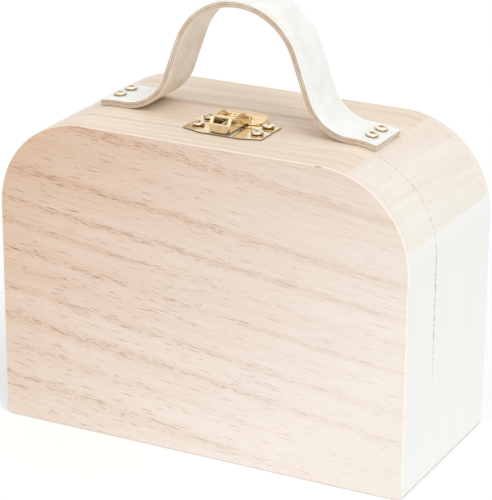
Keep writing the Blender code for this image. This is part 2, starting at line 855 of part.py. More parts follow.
lid_holes = add_hinge_screws('lid', -1, lid_empty)
base_holes = add_hinge_screws('base', 1)
for side, label in ((-1, 'left'), (1, 'right')):
    middle = side * hinge_x
    for pocket in hinge_pocket('hinge_pocket_' + label, middle):
        combine(lid['bottom_rail'], pocket)
        combine(base['bottom_rail'], pocket)
    combine(hinge_leaf('hinge_lid_leaf_' + label, middle, -1, lid_empty), lid_holes)
    combine(hinge_leaf('hinge_base_leaf_' + label, middle, 1), base_holes)
    pin = across('hinge_pin_' + label, hinge_pin_radius, hinge_length / 2,
                 Vector((middle, joint_y, axis_z)), turn_steps)
    add_part(pin, 'brass')
combine(lid['bottom_rail'], lid_holes)
combine(base['bottom_rail'], base_holes)
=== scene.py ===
from math import acos, atan2, copysign, cos, hypot, pi, radians, sin, tan

import bmesh
import bpy
from mathutils import Matrix, Vector


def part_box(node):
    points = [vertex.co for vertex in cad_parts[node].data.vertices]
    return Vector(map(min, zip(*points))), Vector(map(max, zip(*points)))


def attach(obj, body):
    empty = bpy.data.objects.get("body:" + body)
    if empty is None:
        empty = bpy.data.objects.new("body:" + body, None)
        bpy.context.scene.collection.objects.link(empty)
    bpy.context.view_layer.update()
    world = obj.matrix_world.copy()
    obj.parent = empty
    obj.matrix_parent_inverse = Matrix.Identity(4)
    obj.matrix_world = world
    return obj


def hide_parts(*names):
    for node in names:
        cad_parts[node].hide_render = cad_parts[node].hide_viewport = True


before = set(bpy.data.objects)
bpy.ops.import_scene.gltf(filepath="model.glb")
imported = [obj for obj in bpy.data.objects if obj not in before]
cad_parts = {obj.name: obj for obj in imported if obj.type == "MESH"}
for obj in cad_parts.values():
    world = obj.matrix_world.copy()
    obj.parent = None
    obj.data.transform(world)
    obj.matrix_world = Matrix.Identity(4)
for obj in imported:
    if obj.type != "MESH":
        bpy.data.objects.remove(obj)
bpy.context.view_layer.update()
print("frame loaded:", len(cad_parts), "nodes")

mm = 0.001
smoothLimit = radians(30)  # edges sharper than this stay crisp
mergeGap = 0.001 * mm


# Node and mesh helpers

class Bench:
    # Adds and wires the nodes of one tree.
    def __init__(self, tree):
        self.tree = tree

    def wire(self, value, socket):
        if isinstance(value, bpy.types.NodeSocket):
            self.tree.links.new(value, socket)
        else:
            socket.default_value = value

    def add(self, kind, inputs=None, **settings):
        node = self.tree.nodes.new(kind)
        for key, value in settings.items():
            setattr(node, key, value)
        for key, value in (inputs or {}).items():
            self.wire(value, node.inputs[key])
        return node

    def make(self, kind, inputs=None, **settings):
        # A new node's first result.
        return self.add(kind, inputs, **settings).outputs[0]

    def math(self, operation, *values):
        return self.make("ShaderNodeMath", dict(enumerate(values)), operation=operation)

    def times(self, product, *values):
        for value in values:
            product = self.math("MULTIPLY", product, value)
        return product

    def minus(self, first, second):
        return self.math("SUBTRACT", first, second)

    def larger(self, first, second):
        return self.math("MAXIMUM", first, second)

    def size(self, value):
        return self.math("ABSOLUTE", value)

    def line(self, value, scale, start):
        return self.math("MULTIPLY_ADD", value, scale, start)

    def vector(self, operation, first, second):
        node = self.add("ShaderNodeVectorMath", {0: first, 1: second}, operation=operation)
        return node.outputs["Value" if operation == "DOT_PRODUCT" else "Vector"]

    def length(self, vector):
        return self.add("ShaderNodeVectorMath", {0: vector}, operation="LENGTH").outputs["Value"]

    def scaled(self, vector, scale):
        return self.make("ShaderNodeVectorMath", {0: vector, "Scale": scale}, operation="SCALE")

    def split(self, vector):
        return self.add("ShaderNodeSeparateXYZ", {"Vector": vector}).outputs

    def join(self, **parts):
        return self.make("ShaderNodeCombineXYZ", parts)

    def place(self):
        # Where a point of the object lies, in mm.
        return self.vector("DIVIDE", self.add("ShaderNodeTexCoord").outputs["Object"], (mm, mm, mm))

    def attribute(self, name):
        return self.add("ShaderNodeAttribute", attribute_name=name).outputs["Fac"]

    def noise(self, place, stretch, detail=2.0, roughness=0.5):
        place = self.vector("DIVIDE", place, stretch)
        return self.make("ShaderNodeTexNoise", {
            "Vector": place, "Scale": 1.0, "Detail": detail, "Roughness": roughness})

    def span(self, value, low, high, shape="LINEAR"):
        return self.make("ShaderNodeMapRange", {"Value": value, "From Min": low, "From Max": high},
                         interpolation_type=shape)

    def step(self, value, low, high):
        return self.span(value, low, high, "SMOOTHSTEP")

    def clamp(self, value):
        return self.make("ShaderNodeClamp", {"Value": value})

    def blend(self, share, first, second):
        return self.add("ShaderNodeMix", {0: share, 6: first, 7: second}, data_type="RGBA").outputs[2]

    def bump(self, height, depth, strength):
        return self.make("ShaderNodeBump", {"Height": height, "Distance": depth, "Strength": strength})


def paint(red, green, blue):
    # A colour as it should render, from 0 to 255, made linear.
    shares = (c / 255 for c in (red, green, blue))
    return tuple(c / 12.92 if c <= 0.04045 else ((c + 0.055) / 1.055) ** 2.4 for c in shares) + (1,)


def startMaterial(name):
    material = bpy.data.materials.new(name)
    material.use_nodes = True
    material.node_tree.nodes.clear()
    return material, Bench(material.node_tree)


def endMaterial(bench, inputs):
    bench.add("ShaderNodeOutputMaterial", {"Surface": bench.make("ShaderNodeBsdfPrincipled", inputs)})


def addObject(name, data):
    item = bpy.data.objects.new(name, data)
    bpy.context.scene.collection.objects.link(item)
    return item


def finishBuild(name, build):
    mesh = bpy.data.meshes.new(name)
    build.to_mesh(mesh)
    build.free()
    return addObject(name, mesh)


def extrude(outline, move, place):
    # A flat outline, set in space by place, as a closed form that reaches as far as move.
    build = bmesh.new()
    face = build.faces.new([build.verts.new(place(a, b)) for a, b in outline])
    grown = bmesh.ops.extrude_face_region(build, geom=[face])
    moved = [v for v in grown["geom"] if isinstance(v, bmesh.types.BMVert)]
    bmesh.ops.translate(build, verts=moved, vec=move)
    bmesh.ops.recalc_face_normals(build, faces=build.faces)
    return build


def shadeByAngle(item):
    item.data.shade_smooth()
    item.data.set_sharp_from_angle(angle=smoothLimit)


def faceNormals(item):
    # Flat faces keep their own shading beside their rounded edges.
    step = item.modifiers.new("flatFacesFirst", "WEIGHTED_NORMAL")
    step.keep_sharp = True


def freeze(item, name):
    # The evaluated object as a plain mesh object of its own, with the old one removed.
    bpy.context.view_layer.update()
    evaluated = item.evaluated_get(bpy.context.evaluated_depsgraph_get())
    mesh = bpy.data.meshes.new_from_object(evaluated)
    bpy.data.objects.remove(item)
    mesh.name = name
    return addObject(name, mesh)


def hand(item, body, nodes, material=None):
    # Gives a finished piece to its body, in place of the CAD nodes that it stands for.
    if material:
        item.data.materials.clear()
        item.data.materials.append(material)
    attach(item, body)
    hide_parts(*nodes)


# Camera

cameraLook = dict(
    place=(469.1 * mm, -915.1 * mm, 470.2 * mm),
    turn=radians(27.105),
    down=radians(20.625),
    roll=radians(0.32),
    lens=175.2,
    sensor=36.0,
)


def addCamera(look):
    camera = bpy.data.cameras.new("photoCamera")
    camera.lens = look["lens"]
    camera.sensor_width = look["sensor"]
    item = addObject("photoCamera", camera)
    item.matrix_world = (Matrix.Translation(look["place"]) @ Matrix.Rotation(look["turn"], 4, "Z")
                         @ Matrix.Rotation(pi / 2 - look["down"], 4, "X")
                         @ Matrix.Rotation(look["roll"], 4, "Z"))
    bpy.context.scene.camera = item


addCamera(cameraLook)
print("camera set")


# Wood finishes, in mm. A range runs from where a share is 0 to where it is 1.

woodGrain = dict(
    # Each noise has its size along, across and deep, its detail and its roughness.
    wander=((110, 60, 42), 2.0, 0.5), wanderSize=1.6,  # the grain lines' drift
    row=((400, 1.1, 1.1), 0.0, 0.5), rowShift=48,  # staggers the rows of vessels
    fibre=((13, 0.34, 0.34), 3.0, 0.6), streak=((95, 2.4, 5), 3.0, 0.55), band=((210, 11, 16), 2.0, 0.5),
    fibreRange=(0.42, 0.8), fibreRelief=0.25, plainFibre=0.4,
    ringSpan=(-80, 200), ringBelow=0.5, ringAbove=0.3,
    poreSpread=0.6, poreEdge=(1.0, 0.45),
    bumpDepth=0.06 * mm, bumpStrength=0.4, roughness=0.58, poreRoughness=0.15, gloss=0.3,
    skin=(-0.55, -0.2), foot=(3.3, 3.0),  # how deep the rim's outer tones reach
    inner=(paint(240, 229, 214), paint(216, 190, 165)),  # the pale and deep tones within
    railEnd=(144.1, 144.4), cornerEnd=(112.5, 113.1),  # heights where the rim's look changes
)
panelEdge = dict(
    arris=(45.42, 45.0),  # how far out the face gives way to the rim's tone
    # A painted highlight along the panel's outer arris, from a height upward.
    worn=(45.0, 45.3), arrisHighlightFrom=(3, 12), arrisHighlightShare=0.7, arrisHighlightTone=paint(252, 245, 232),
    faint=(-60, 85), faintShare=0.68,  # the vessels grow fainter towards the right end
    fleck=(57.5, -45.5, 145.7), fleckReach=(2.6, 1.4, 0.8), fleckEdge=(1.0, 0.4), fleckShare=0.7,
)

# Each ring is its height across the grain where the grain passes the middle, its reach and its strength.
# Pores and dots are each a length, a width, a radius, and the shares kept in late and in early wood.
woodLooks = dict(
    panel=dict(
        grain=(1, 0, -0.122), across=(0, 0, 1), start=(31, 12, 0),
        pale=paint(239, 230, 221), deep=paint(212, 180, 153), poreTone=paint(154, 88, 36),
        level=0.34, slope=(-0.0035, 0, 0.0040), middle=(0, 0, 73),
        rings=((9, 8, 0.5), (24, 5, 0.35), (38, 6, 0.9), (52, 7, 0.8), (63, 3, 0.35),
               (71, 5, 0.8), (84, 4, 0.45), (95, 6, 1.0), (110, 7, 1.0), (137, 9, 0.9)),
        pores=(9, 0.35, 0.32, 0.12, 1.00), dots=(2.6, 0.33, 0.32, 0.06, 0.95),
        streakShare=0.16, bandShare=0.16, ringShare=0.12, poreShare=0.95, fibreShare=0.30,
    ),
    rail=dict(
        grain=(1, 0.03, 0), across=(0, 1, 0), start=(-60, 0, 20), end="railEnd",
        pale=paint(240, 228, 211), deep=paint(206, 174, 148), poreTone=paint(160, 118, 90),
        level=0.24, slope=(0, 0, 0), middle=(0, 0, 0),
        rings=((-38, 4, 0.3), (-26, 5, 0.5), (-9, 4, 0.25), (9, 10, 0.9), (22, 4, 0.3), (35, 6, 0.4)),
        pores=(6, 0.5, 0.20, 0.05, 0.40), dots=(3.0, 0.42, 0.18, 0.03, 0.22),
        streakShare=0.38, bandShare=0.30, ringShare=0.50, poreShare=0.48, fibreShare=0.26,
    ),
    corner=dict(
        grain=(0.10, 1, 0.05), across=(0.7, 0, -0.7), start=(8, 3, 60), end="cornerEnd",
        pale=paint(237, 233, 223), deep=paint(222, 196, 178), poreTone=paint(186, 150, 122),
        level=0.12, slope=(0, 0.002, 0.012), middle=(90, 0, 128),
        rings=((-30, 4, 0.4), (-12, 3, 0.3), (-2, 6, 0.8), (10, 3, 0.4), (22, 5, 0.6),
               (36, 4, 0.5), (50, 5, 0.6), (64, 4, 0.4)),
        pores=(4.5, 0.45, 0.25, 0.10, 0.60), dots=(2.0, 0.40, 0.24, 0.06, 0.5),
        streakShare=0.28, bandShare=0.26, ringShare=0.20, poreShare=0.60, fibreShare=0.16,
        jointReach=(0, 0.22),
    ),
    side=dict(
        grain=(0, 0.02, 1), across=(0, 1, 0), start=(14, 0, 3),
        pale=paint(241, 242, 239), deep=paint(232, 228, 219), poreTone=paint(206, 190, 170),
        level=0.10, slope=(0, 0, 0.0015), middle=(0, 0, 60),
        rings=((-36, 4, 0.4), (-20, 5, 0.4), (-4, 5, 0.5), (12, 6, 0.4), (28, 5, 0.5), (40, 4, 0.4)),
        pores=(8, 0.7, 0.15, 0.01, 0.16), dots=(3.0, 0.42, 0.18, 0.02, 0.14),
        streakShare=0.20, bandShare=0.18, ringShare=0.10, poreShare=0.26, fibreShare=0.08,
        jointReach=(0.10, 0.46),
    ),
)
jointLook = dict(
    tone=paint(164, 130, 98), share=0.9,
    fade=(30, 72),  # heights between which the stain fades in
    speck=(1.2, 1.2, 1.5), speckRange=(0.36, 0.64), softness=(-0.08, 0.12),
)


def poreField(bench, place, sizes, early):
    # Short dark vessels cut along the grain, crowded where the early wood is.
    length, width, radius, fewShare, manyShare = sizes
    cells = bench.add("ShaderNodeTexVoronoi", {
        "Vector": bench.vector("DIVIDE", place, (length, width, width)), "Scale": 1.0}).outputs
    chance = bench.add("ShaderNodeSeparateColor", {"Color": cells["Color"]}).outputs
    kept = bench.math("LESS_THAN", chance["Red"], bench.line(early, manyShare - fewShare, fewShare))
    reach = bench.line(chance["Green"], radius, radius * woodGrain["poreSpread"])
    inside = bench.math("DIVIDE", cells["Distance"], reach)
    return bench.times(bench.step(inside, *woodGrain["poreEdge"]), kept)


def ringField(bench, height, rings):
    # Early wood as narrow bands, each with a soft side below and a sharper one above.
    low, high = woodGrain["ringSpan"]
    ramp = bench.add("ShaderNodeValToRGB", {"Fac": bench.span(height, low, high)})
    stops = ramp.color_ramp.elements
    ramp.color_ramp.interpolation = "EASE"
    stops[0].color = stops[1].color = (0, 0, 0, 1)
    for middle, reach, strength in rings:
        below, above = middle - reach * woodGrain["ringBelow"], middle + reach * woodGrain["ringAbove"]
        for place, value in ((below, 0), (middle, strength), (above, 0)):
            stops.new((place - low) / (high - low)).color = (value, value, value, 1)
    return ramp.outputs["Color"]


def skinField(bench, spot):
    # 1 on the rim's outer skin and round the feet, and 0 inside.
    aside = bench.larger(bench.minus(bench.size(spot["X"]), arcMiddle[0] / mm), 0.0)
    above = bench.larger(bench.minus(spot["Z"], arcMiddle[1] / mm), 0.0)
    outside = bench.minus(bench.length(bench.join(X=aside, Z=above)), caseSizes["cornerRadius"] / mm)
    return bench.larger(bench.step(outside, *woodGrain["skin"]), bench.step(spot["Z"], *woodGrain["foot"]))


def rimTone(bench, height):
    # The plain tone of the rim at a height, for the boards' edges that carry on a neighbour's look.
    tones = []
    for look in (woodLooks["side"], woodLooks["corner"], woodLooks["rail"]):
        rise = bench.minus(height, look["middle"][2])
        start = look["level"] + look["fibreShare"] * woodGrain["plainFibre"]
        share = bench.clamp(bench.line(rise, look["slope"][2], start))
        tones.append(bench.blend(share, look["pale"], look["deep"]))
    tone = bench.blend(bench.step(height, *woodGrain["cornerEnd"]), tones[0], tones[1])
    return bench.blend(bench.step(height, *woodGrain["railEnd"]), tone, tones[2])


def jointStain(bench, place, spot, reach):
    # Glue and dust in the joint: dotted over the corners, unbroken below them and fading downward.
    off = bench.size(bench.minus(spot["Y"], jointY / mm))
    specks = bench.step(bench.noise(place, jointLook["speck"]), *jointLook["speckRange"])
    reach = bench.line(specks, reach[1] - reach[0], reach[0])
    line = bench.step(bench.minus(reach, off), *jointLook["softness"])
    return bench.times(line, bench.step(spot["Z"], *jointLook["fade"]), jointLook["share"])


def edgeTones(bench, place, spot, skin, color, fleckTone):
    # The front panel's brown fleck, and the rim's tone and a painted highlight line round a panel's edge.
    look = panelEdge
    away = bench.vector("DIVIDE", bench.vector("SUBTRACT", place, look["fleck"]), look["fleckReach"])
    fleck = bench.times(bench.step(bench.length(away), *look["fleckEdge"]), look["fleckShare"])
    color = bench.blend(fleck, color, fleckTone)
    depth = bench.size(spot["Y"])
    color = bench.blend(bench.times(bench.step(depth, *look["arris"]), skin), color, rimTone(bench, spot["Z"]))
    # Painted highlight along the outer arris.
    worn = bench.times(bench.step(depth, *look["worn"]), bench.step(spot["Z"], *look["arrisHighlightFrom"]))
    return bench.blend(bench.times(worn, skin, look["arrisHighlightShare"]), color, look["arrisHighlightTone"])


def makeWood(name, look):
    material, bench = startMaterial(name + "Wood")
    along = Vector(look["grain"]).normalized()
    across = Vector(look["across"])
    across = (across - along * across.dot(along)).normalized()
    place = bench.place()
    spot = bench.split(place)
    x, y, z = (bench.vector("DOT_PRODUCT", place, tuple(axis)) for axis in (along, across, along.cross(across)))

    # The grain lines wander a little off straight.
    straight = bench.vector("ADD", bench.join(X=x, Y=y, Z=z), look["start"])
    size = woodGrain["wanderSize"]
    bent = bench.math("ADD", y, bench.line(bench.noise(straight, *woodGrain["wander"]), 2 * size, -size))
    lines = bench.vector("ADD", bench.join(X=x, Y=bent, Z=z), look["start"])

    # Neighbouring rows of vessels start at odd places, so they don't line up across the grain.
    early = ringField(bench, bent, look["rings"])
    stagger = bench.times(bench.noise(lines, *woodGrain["row"]), woodGrain["rowShift"])
    rows = bench.vector("ADD", lines, bench.join(X=stagger))
    pores = bench.larger(*(poreField(bench, rows, look[kind], early) for kind in ("pores", "dots")))

    # One share carries every slow change between the pale tone and the deep one.
    fibre, streak, band = (bench.noise(lines, *woodGrain[kind]) for kind in ("fibre", "streak", "band"))
    offset = bench.vector("SUBTRACT", place, look["middle"])
    share = bench.math("ADD", bench.vector("DOT_PRODUCT", offset, look["slope"]), look["level"])
    for field, size in ((streak, look["streakShare"]), (band, look["bandShare"])):
        share = bench.math("ADD", share, bench.line(field, 2 * size, -size))
    share = bench.line(early, look["ringShare"], share)
    share = bench.clamp(bench.line(bench.step(fibre, *woodGrain["fibreRange"]), look["fibreShare"], share))
    color = bench.blend(share, look["pale"], look["deep"])
    skin = skinField(bench, spot)
    strength = look["poreShare"]
    if name == "panel":
        faint = bench.step(spot["X"], *panelEdge["faint"])
        strength = bench.line(faint, -panelEdge["faintShare"] * strength, strength)
    else:
        color = bench.blend(skin, bench.blend(share, *woodGrain["inner"]), color)
    color = bench.blend(bench.times(pores, strength), color, look["poreTone"])
    if name == "panel":
        color = edgeTones(bench, place, spot, skin, color, look["poreTone"])
    if "end" in look:
        end = bench.step(spot["Z"], *reversed(woodGrain[look["end"]]))
        color = bench.blend(bench.times(end, skin), color, rimTone(bench, spot["Z"]))
    if "jointReach" in look:
        stain = jointStain(bench, place, spot, look["jointReach"])
        color = bench.blend(bench.times(stain, skin), color, jointLook["tone"])
    height = bench.minus(bench.times(fibre, woodGrain["fibreRelief"]), pores)
    endMaterial(bench, {
        "Base Color": color,
        "Roughness": bench.line(pores, woodGrain["poreRoughness"], woodGrain["roughness"]),
        "Specular IOR Level": woodGrain["gloss"],
        "Normal": bench.bump(height, woodGrain["bumpDepth"], woodGrain["bumpStrength"]),
    })
    return material


# Case boards

caseSizes = dict(
    cornerRadius=42.5 * mm,
    footRadius=3 * mm,
    railSweep=radians(20),
    seam=0.3 * mm,  # between plies and under the strap
    closed=0.004 * mm,  # between boards that are glued
    jointGap=0.07 * mm,
    reliefSlope=radians(38),
    reliefTop=1.1 * mm,
    arcSteps=56, footSteps=10,
    panelRound=(0.6 * mm, 5),  # a panel's outer arris, with its steps
    jointRound=(0.1 * mm, 3),
)

panelHigh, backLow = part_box("front_panel")[1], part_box("back_panel")[0]
sideLow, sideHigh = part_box("lid_side_right")
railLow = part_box("base_top_rail")[0]
halfWidth, caseTop = panelHigh.x, panelHigh.z
rimWall = sideHigh.x - sideLow.x
jointY = (sideHigh.y + railLow.y) / 2
arcMiddle = (halfWidth - caseSizes["cornerRadius"], caseTop - caseSizes["cornerRadius"])
slack = caseSizes["closed"] / 2 / (caseSizes["cornerRadius"] - rimWall / 2)  # half of a closed seam, as a turn

woods = {name: makeWood(name, look) for name, look in woodLooks.items()}
print("wood finishes made")


def pieceName(node):
    first, *words = node.split("_")
    return first + "".join(word.capitalize() for word in words)


def evenly(start, end, steps):
    return [start + (end - start) * i / steps for i in range(steps + 1)]


def arcPoints(middle, radius, start, end, steps):
    x, y = middle
    return [(x + radius * cos(turn), y + radius * sin(turn)) for turn in evenly(start, end, steps)]


def mirrored(outline):
    return [(-x, z) for x, z in reversed(outline)]


def footArc():
    radius = caseSizes["footRadius"]
    return arcPoints((halfWidth - radius, radius), radius, -pi / 2, 0, caseSizes["footSteps"])


def panelOutline():
    right = footArc() + arcPoints(arcMiddle, caseSizes["cornerRadius"], 0, pi / 2, caseSizes["arcSteps"])
    return right + mirrored(right)


def rimArc(start, end, steps):
    # The outer arc one way and the inner arc back.
    radius = caseSizes["cornerRadius"]
    return (arcPoints(arcMiddle, radius, start, end, steps),
            arcPoints(arcMiddle, radius - rimWall, end, start, steps))


def railOutline():
    outer, inner = rimArc(pi / 2 - caseSizes["railSweep"] + slack, pi / 2, caseSizes["arcSteps"] // 4)
    return outer + mirrored(outer) + mirrored(inner) + inner


def cornerOutline():
    outer, inner = rimArc(slack, pi / 2 - caseSizes["railSweep"] - slack, caseSizes["arcSteps"])
    return outer + inner


def sideOutline():
    inside = halfWidth - rimWall
    top = arcMiddle[1] - caseSizes["closed"] / 2
    return footArc() + [(halfWidth, top), (inside, top), (inside, sideLow.z)]


def roundEdges(build, width, segments, wanted):
    edges = [e for e in build.edges if len(e.link_faces) == 2 and wanted(e)
             and e.calc_face_angle(0) > smoothLimit]
    bmesh.ops.bevel(build, geom=edges, offset=width, offset_type="OFFSET", segments=segments,
                    profile=0.5, affect="EDGES", clamp_overlap=True)


def cutRelief(build, side):
    # The slope along the bottom of the joint, on the half that lies to that side of it.
    slope = caseSizes["reliefSlope"]
    everything = build.verts[:] + build.edges[:] + build.faces[:]
    cut = bmesh.ops.bisect_plane(build, geom=everything, plane_co=(0, jointY, caseSizes["reliefTop"]),
                                 plane_no=(0, -side * sin(slope), -cos(slope)), clear_outer=True)
    rim = [e for e in cut["geom_cut"] if isinstance(e, bmesh.types.BMEdge)]
    bmesh.ops.contextual_create(build, geom=rim)


def makeBoard(node, outline, wood):
    # A panel between the depths of its CAD node, or a rim board from its panel to the joint.
    low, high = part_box(node)
    side = -1 if high.y < jointY + mm else 1
    joint = jointY + side * caseSizes["jointGap"] / 2
    if wood == "panel":
        front, rear = low.y, high.y
    elif side < 0:
        front, rear = panelHigh.y + caseSizes["closed"], joint
    else:
        front, rear = joint, backLow.y - caseSizes["closed"]
    build = extrude(outline, (0, rear - front, 0), lambda x, z: (x, front, z))
    if "side" in node:
        cutRelief(build, side)
    if wood == "panel":
        level, reach, rounding = front if side < 0 else rear, mergeGap, caseSizes["panelRound"]
    else:
        level, reach, rounding = jointY, caseSizes["jointGap"], caseSizes["jointRound"]
    roundEdges(build, *rounding, lambda e: all(abs(v.co.y - level) < reach for v in e.verts))
    item = finishBuild(pieceName(node), build)
    shadeByAngle(item)
    faceNormals(item)
    hand(item, "lid" if side < 0 else "base", [node], woods[wood])


makeBoard("front_panel", panelOutline(), "panel")
makeBoard("back_panel", panelOutline(), "panel")
for half in ("lid", "base"):
    makeBoard(half + "_top_rail", railOutline(), "rail")
    for side, turn in (("right", list), ("left", mirrored)):
        makeBoard(half + "_corner_" + side, turn(cornerOutline()), "corner")
        makeBoard(half + "_side_" + side, turn(sideOutline()), "side")
print("case boards made")


# Geometry Nodes helpers

def startTree(name, *inputs):
    # A modifier tree with named inputs, each a label, a kind of socket and, for a number, its default.
    tree = bpy.data.node_groups.new(name, "GeometryNodeTree")
    tree.interface.new_socket("Geometry", in_out="INPUT", socket_type="NodeSocketGeometry")
    for label, kind, *default in inputs:
        socket = tree.interface.new_socket(label, in_out="INPUT", socket_type="NodeSocket" + kind)
        if default:
            socket.default_value = default[0]
    tree.interface.new_socket("Geometry", in_out="OUTPUT", socket_type="NodeSocketGeometry")
    bench = Bench(tree)
    return bench, bench.add("NodeGroupInput").outputs


def endTree(bench, geometry, material):
    real = bench.make("GeometryNodeRealizeInstances", {"Geometry": geometry})
    painted = bench.make("GeometryNodeSetMaterial", {"Geometry": real, "Material": material})
    bench.add("NodeGroupOutput", {"Geometry": painted})
    return bench.tree


def objectShape(bench, item):
    return bench.add("GeometryNodeObjectInfo", {"Object": item}).outputs["Geometry"]


def meshCurve(bench, mesh):
    return bench.make("GeometryNodeMeshToCurve", {"Mesh": mesh})


def placeCopies(bench, points, shape, facing, turn, material):
    # A copy of an object on every point, faced one way and then turned about its own z axis.
    turned = bench.make("FunctionNodeRotateRotation", {"Rotation": facing, 1: bench.join(Z=turn)},
                        rotation_space="LOCAL")
    copies = bench.make("GeometryNodeInstanceOnPoints", {
        "Points": points, "Instance": objectShape(bench, shape), "Rotation": turned})
    return endTree(bench, copies, material)


def growFrom(mesh, tree, values, name):
    # Runs a tree on a mesh and gives the result as a plain mesh object.
    carrier = addObject(name + "Carrier", mesh)
    step = carrier.modifiers.new(tree.name, "NODES")
    step.node_group = tree
    for socket in tree.interface.items_tree:
        if socket.in_out == "INPUT" and socket.name in values:
            step[socket.identifier] = values[socket.name]
    return freeze(carrier, name)


# Leather, in mm. The edge's bands are shares of the ply's thickness, from its film down.

leatherLook = dict(
    face=paint(240, 240, 237), faceShade=paint(235, 233, 227),
    lining=paint(241, 234, 223), liningShade=paint(231, 216, 199),
    cloud=((9, 9, 9), 3.0, 0.5), cloudRange=(0.35, 0.7),
    edge=paint(206, 182, 154), edgeDark=paint(150, 120, 92), darkShare=0.85,
    film=(0.22, 0.27), lineStart=(0.22, 0.28), lineEnd=(0.44, 0.32), join=(0.84, 0.97),
    fray=(5, 0.5, 5), frayRange=(0.3, 0.8), frayShare=0.5,
    pebble=(0.55, 0.55, 0.55), pebbleRelief=0.7, pore=(0.16, 0.16, 0.16),
    bumpDepth=0.05 * mm, bumpStrength=0.35, roughness=0.46, edgeRoughness=0.25, gloss=0.4,
)
threadLook = dict(
    tone=paint(240, 238, 232), shade=paint(224, 217, 205), twist=(0.25, 0.12, 0.25),
    bumpDepth=0.06 * mm, bumpStrength=0.6, roughness=0.7,
)


def makeLeather(name, tones, filmSide):
    # filmSide is 1 where the film is on the ply's upper side and -1 where it is below.
    look = leatherLook
    material, bench = startMaterial(name)
    place = bench.place()
    rise, edge = bench.attribute("plyRise"), bench.attribute("plyEdge")
    depth = bench.minus(1.0, rise) if filmSide > 0 else rise
    clouds = bench.step(bench.noise(place, *look["cloud"]), *look["cloudRange"])
    skin = bench.blend(clouds, look[tones], look[tones + "Shade"])
    fray = bench.step(bench.noise(place, look["fray"]), *look["frayRange"])
    core = bench.blend(bench.times(fray, look["frayShare"]), look["edge"], skin)
    line = bench.times(bench.step(depth, *look["lineStart"]), bench.step(depth, *look["lineEnd"]))
    dark = bench.times(bench.larger(line, bench.step(depth, *look["join"])), look["darkShare"])
    core = bench.blend(dark, core, look["edgeDark"])
    core = bench.blend(bench.step(depth, *look["film"]), skin, core)
    pebbles = bench.add("ShaderNodeTexVoronoi", {
        "Vector": bench.vector("DIVIDE", place, look["pebble"]), "Scale": 1.0},
        feature="SMOOTH_F1").outputs["Distance"]
    height = bench.line(pebbles, look["pebbleRelief"], bench.noise(place, look["pore"]))
    endMaterial(bench, {
        "Base Color": bench.blend(edge, skin, core),
        "Roughness": bench.line(edge, look["edgeRoughness"], look["roughness"]),
        "Specular IOR Level": look["gloss"],
        "Normal": bench.bump(height, look["bumpDepth"], look["bumpStrength"]),
    })
    return material


def makeThread(look):
    material, bench = startMaterial("thread")
    twist = bench.noise(bench.place(), look["twist"])
    endMaterial(bench, {
        "Base Color": bench.blend(twist, look["tone"], look["shade"]),
        "Roughness": look["roughness"],
        "Normal": bench.bump(twist, look["bumpDepth"], look["bumpStrength"]),
    })
    return material


leatherFace = makeLeather("strapFaceLeather", "face", 1)
leatherLining = makeLeather("strapLiningLeather", "lining", -1)
threadFinish = makeThread(threadLook)


# Handle strap

strapSizes = dict(
    shift=2 * mm,
    footBend=22 * mm, legLean=3.5 * mm, footLength=12.3 * mm,
    edgeRound=0.28 * mm, edgeTone=1.6,  # the cut edge's tone reaches this many roundings in
    archSteps=72, bendSteps=28, flatSteps=3, footSteps=12, roundSteps=4, grooveSteps=8,
    grooveInset=2.3 * mm, grooveWidth=1.0 * mm, grooveDepth=0.16 * mm,
    stitchLength=2.3 * mm, stitchPitch=3.1 * mm, threadRadius=0.20 * mm,
    stitchStart=14 * mm,  # from the strap's end to its first stitch
    stitchSides=8, stitchCuts=4, stitchThin=0.55, stitchDip=1.1,  # how its ends narrow and dip
    stitchSink=0.95, wobble=radians(2.5), seed=7,
)

outerLow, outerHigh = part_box("handle_strap_outer")
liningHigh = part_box("handle_strap_lining")[1]
seam = caseSizes["seam"]
plyThickness = outerHigh.z - liningHigh.z - seam
strapThickness = 2 * plyThickness + seam
strapMiddleY = (outerLow.y + outerHigh.y) / 2
strapHalf = (outerHigh.y - outerLow.y) / 2


def strapPath(sizes):
    # The strap's centre line in the XZ plane, from the left foot's end to the right one's.
    flatHalf, footBend = arcMiddle[0], sizes["footBend"]
    footRise = caseTop + seam + strapThickness / 2
    halfSpan = flatHalf - sizes["shift"]
    archRadius = halfSpan - footBend - sizes["legLean"]
    arch = Vector((0, outerHigh.z - strapThickness / 2 - archRadius))
    bend = Vector((halfSpan, footRise + footBend))
    lean = atan2(bend.y - arch.y, bend.x) + acos((archRadius + footBend) / (bend - arch).length)
    right = arcPoints(arch, archRadius, pi / 2, lean, sizes["archSteps"])
    right += arcPoints(bend, footBend, pi + lean, pi * 3 / 2, sizes["bendSteps"])[1:]
    radius = caseSizes["cornerRadius"] + footRise - caseTop
    path = []
    for side in (-1, 1):
        run = [Vector((side * x + sizes["shift"], z)) for x, z in right]
        flat = max(flatHalf - abs(run[-1].x), 0)
        if flat > seam:
            run += [run[-1].lerp(Vector((side * flatHalf, footRise)), share)
                    for share in evenly(0, 1, sizes["flatSteps"])[1:]]
        turn = max(sizes["footLength"] - flat, seam) / radius
        foot = arcPoints(arcMiddle, radius, pi / 2, pi / 2 - turn, sizes["footSteps"])[1:]
        run += [Vector((side * x, z)) for x, z in foot]
        path.append(run)
    return path[0][::-1] + path[1][1:]


def lineMesh(name, points, closed=False):
    mesh = bpy.data.meshes.new(name)
    count = len(points)
    links = [(i, (i + 1) % count) for i in range(count if closed else count - 1)]
    mesh.from_pydata(points, links, [])
    return mesh


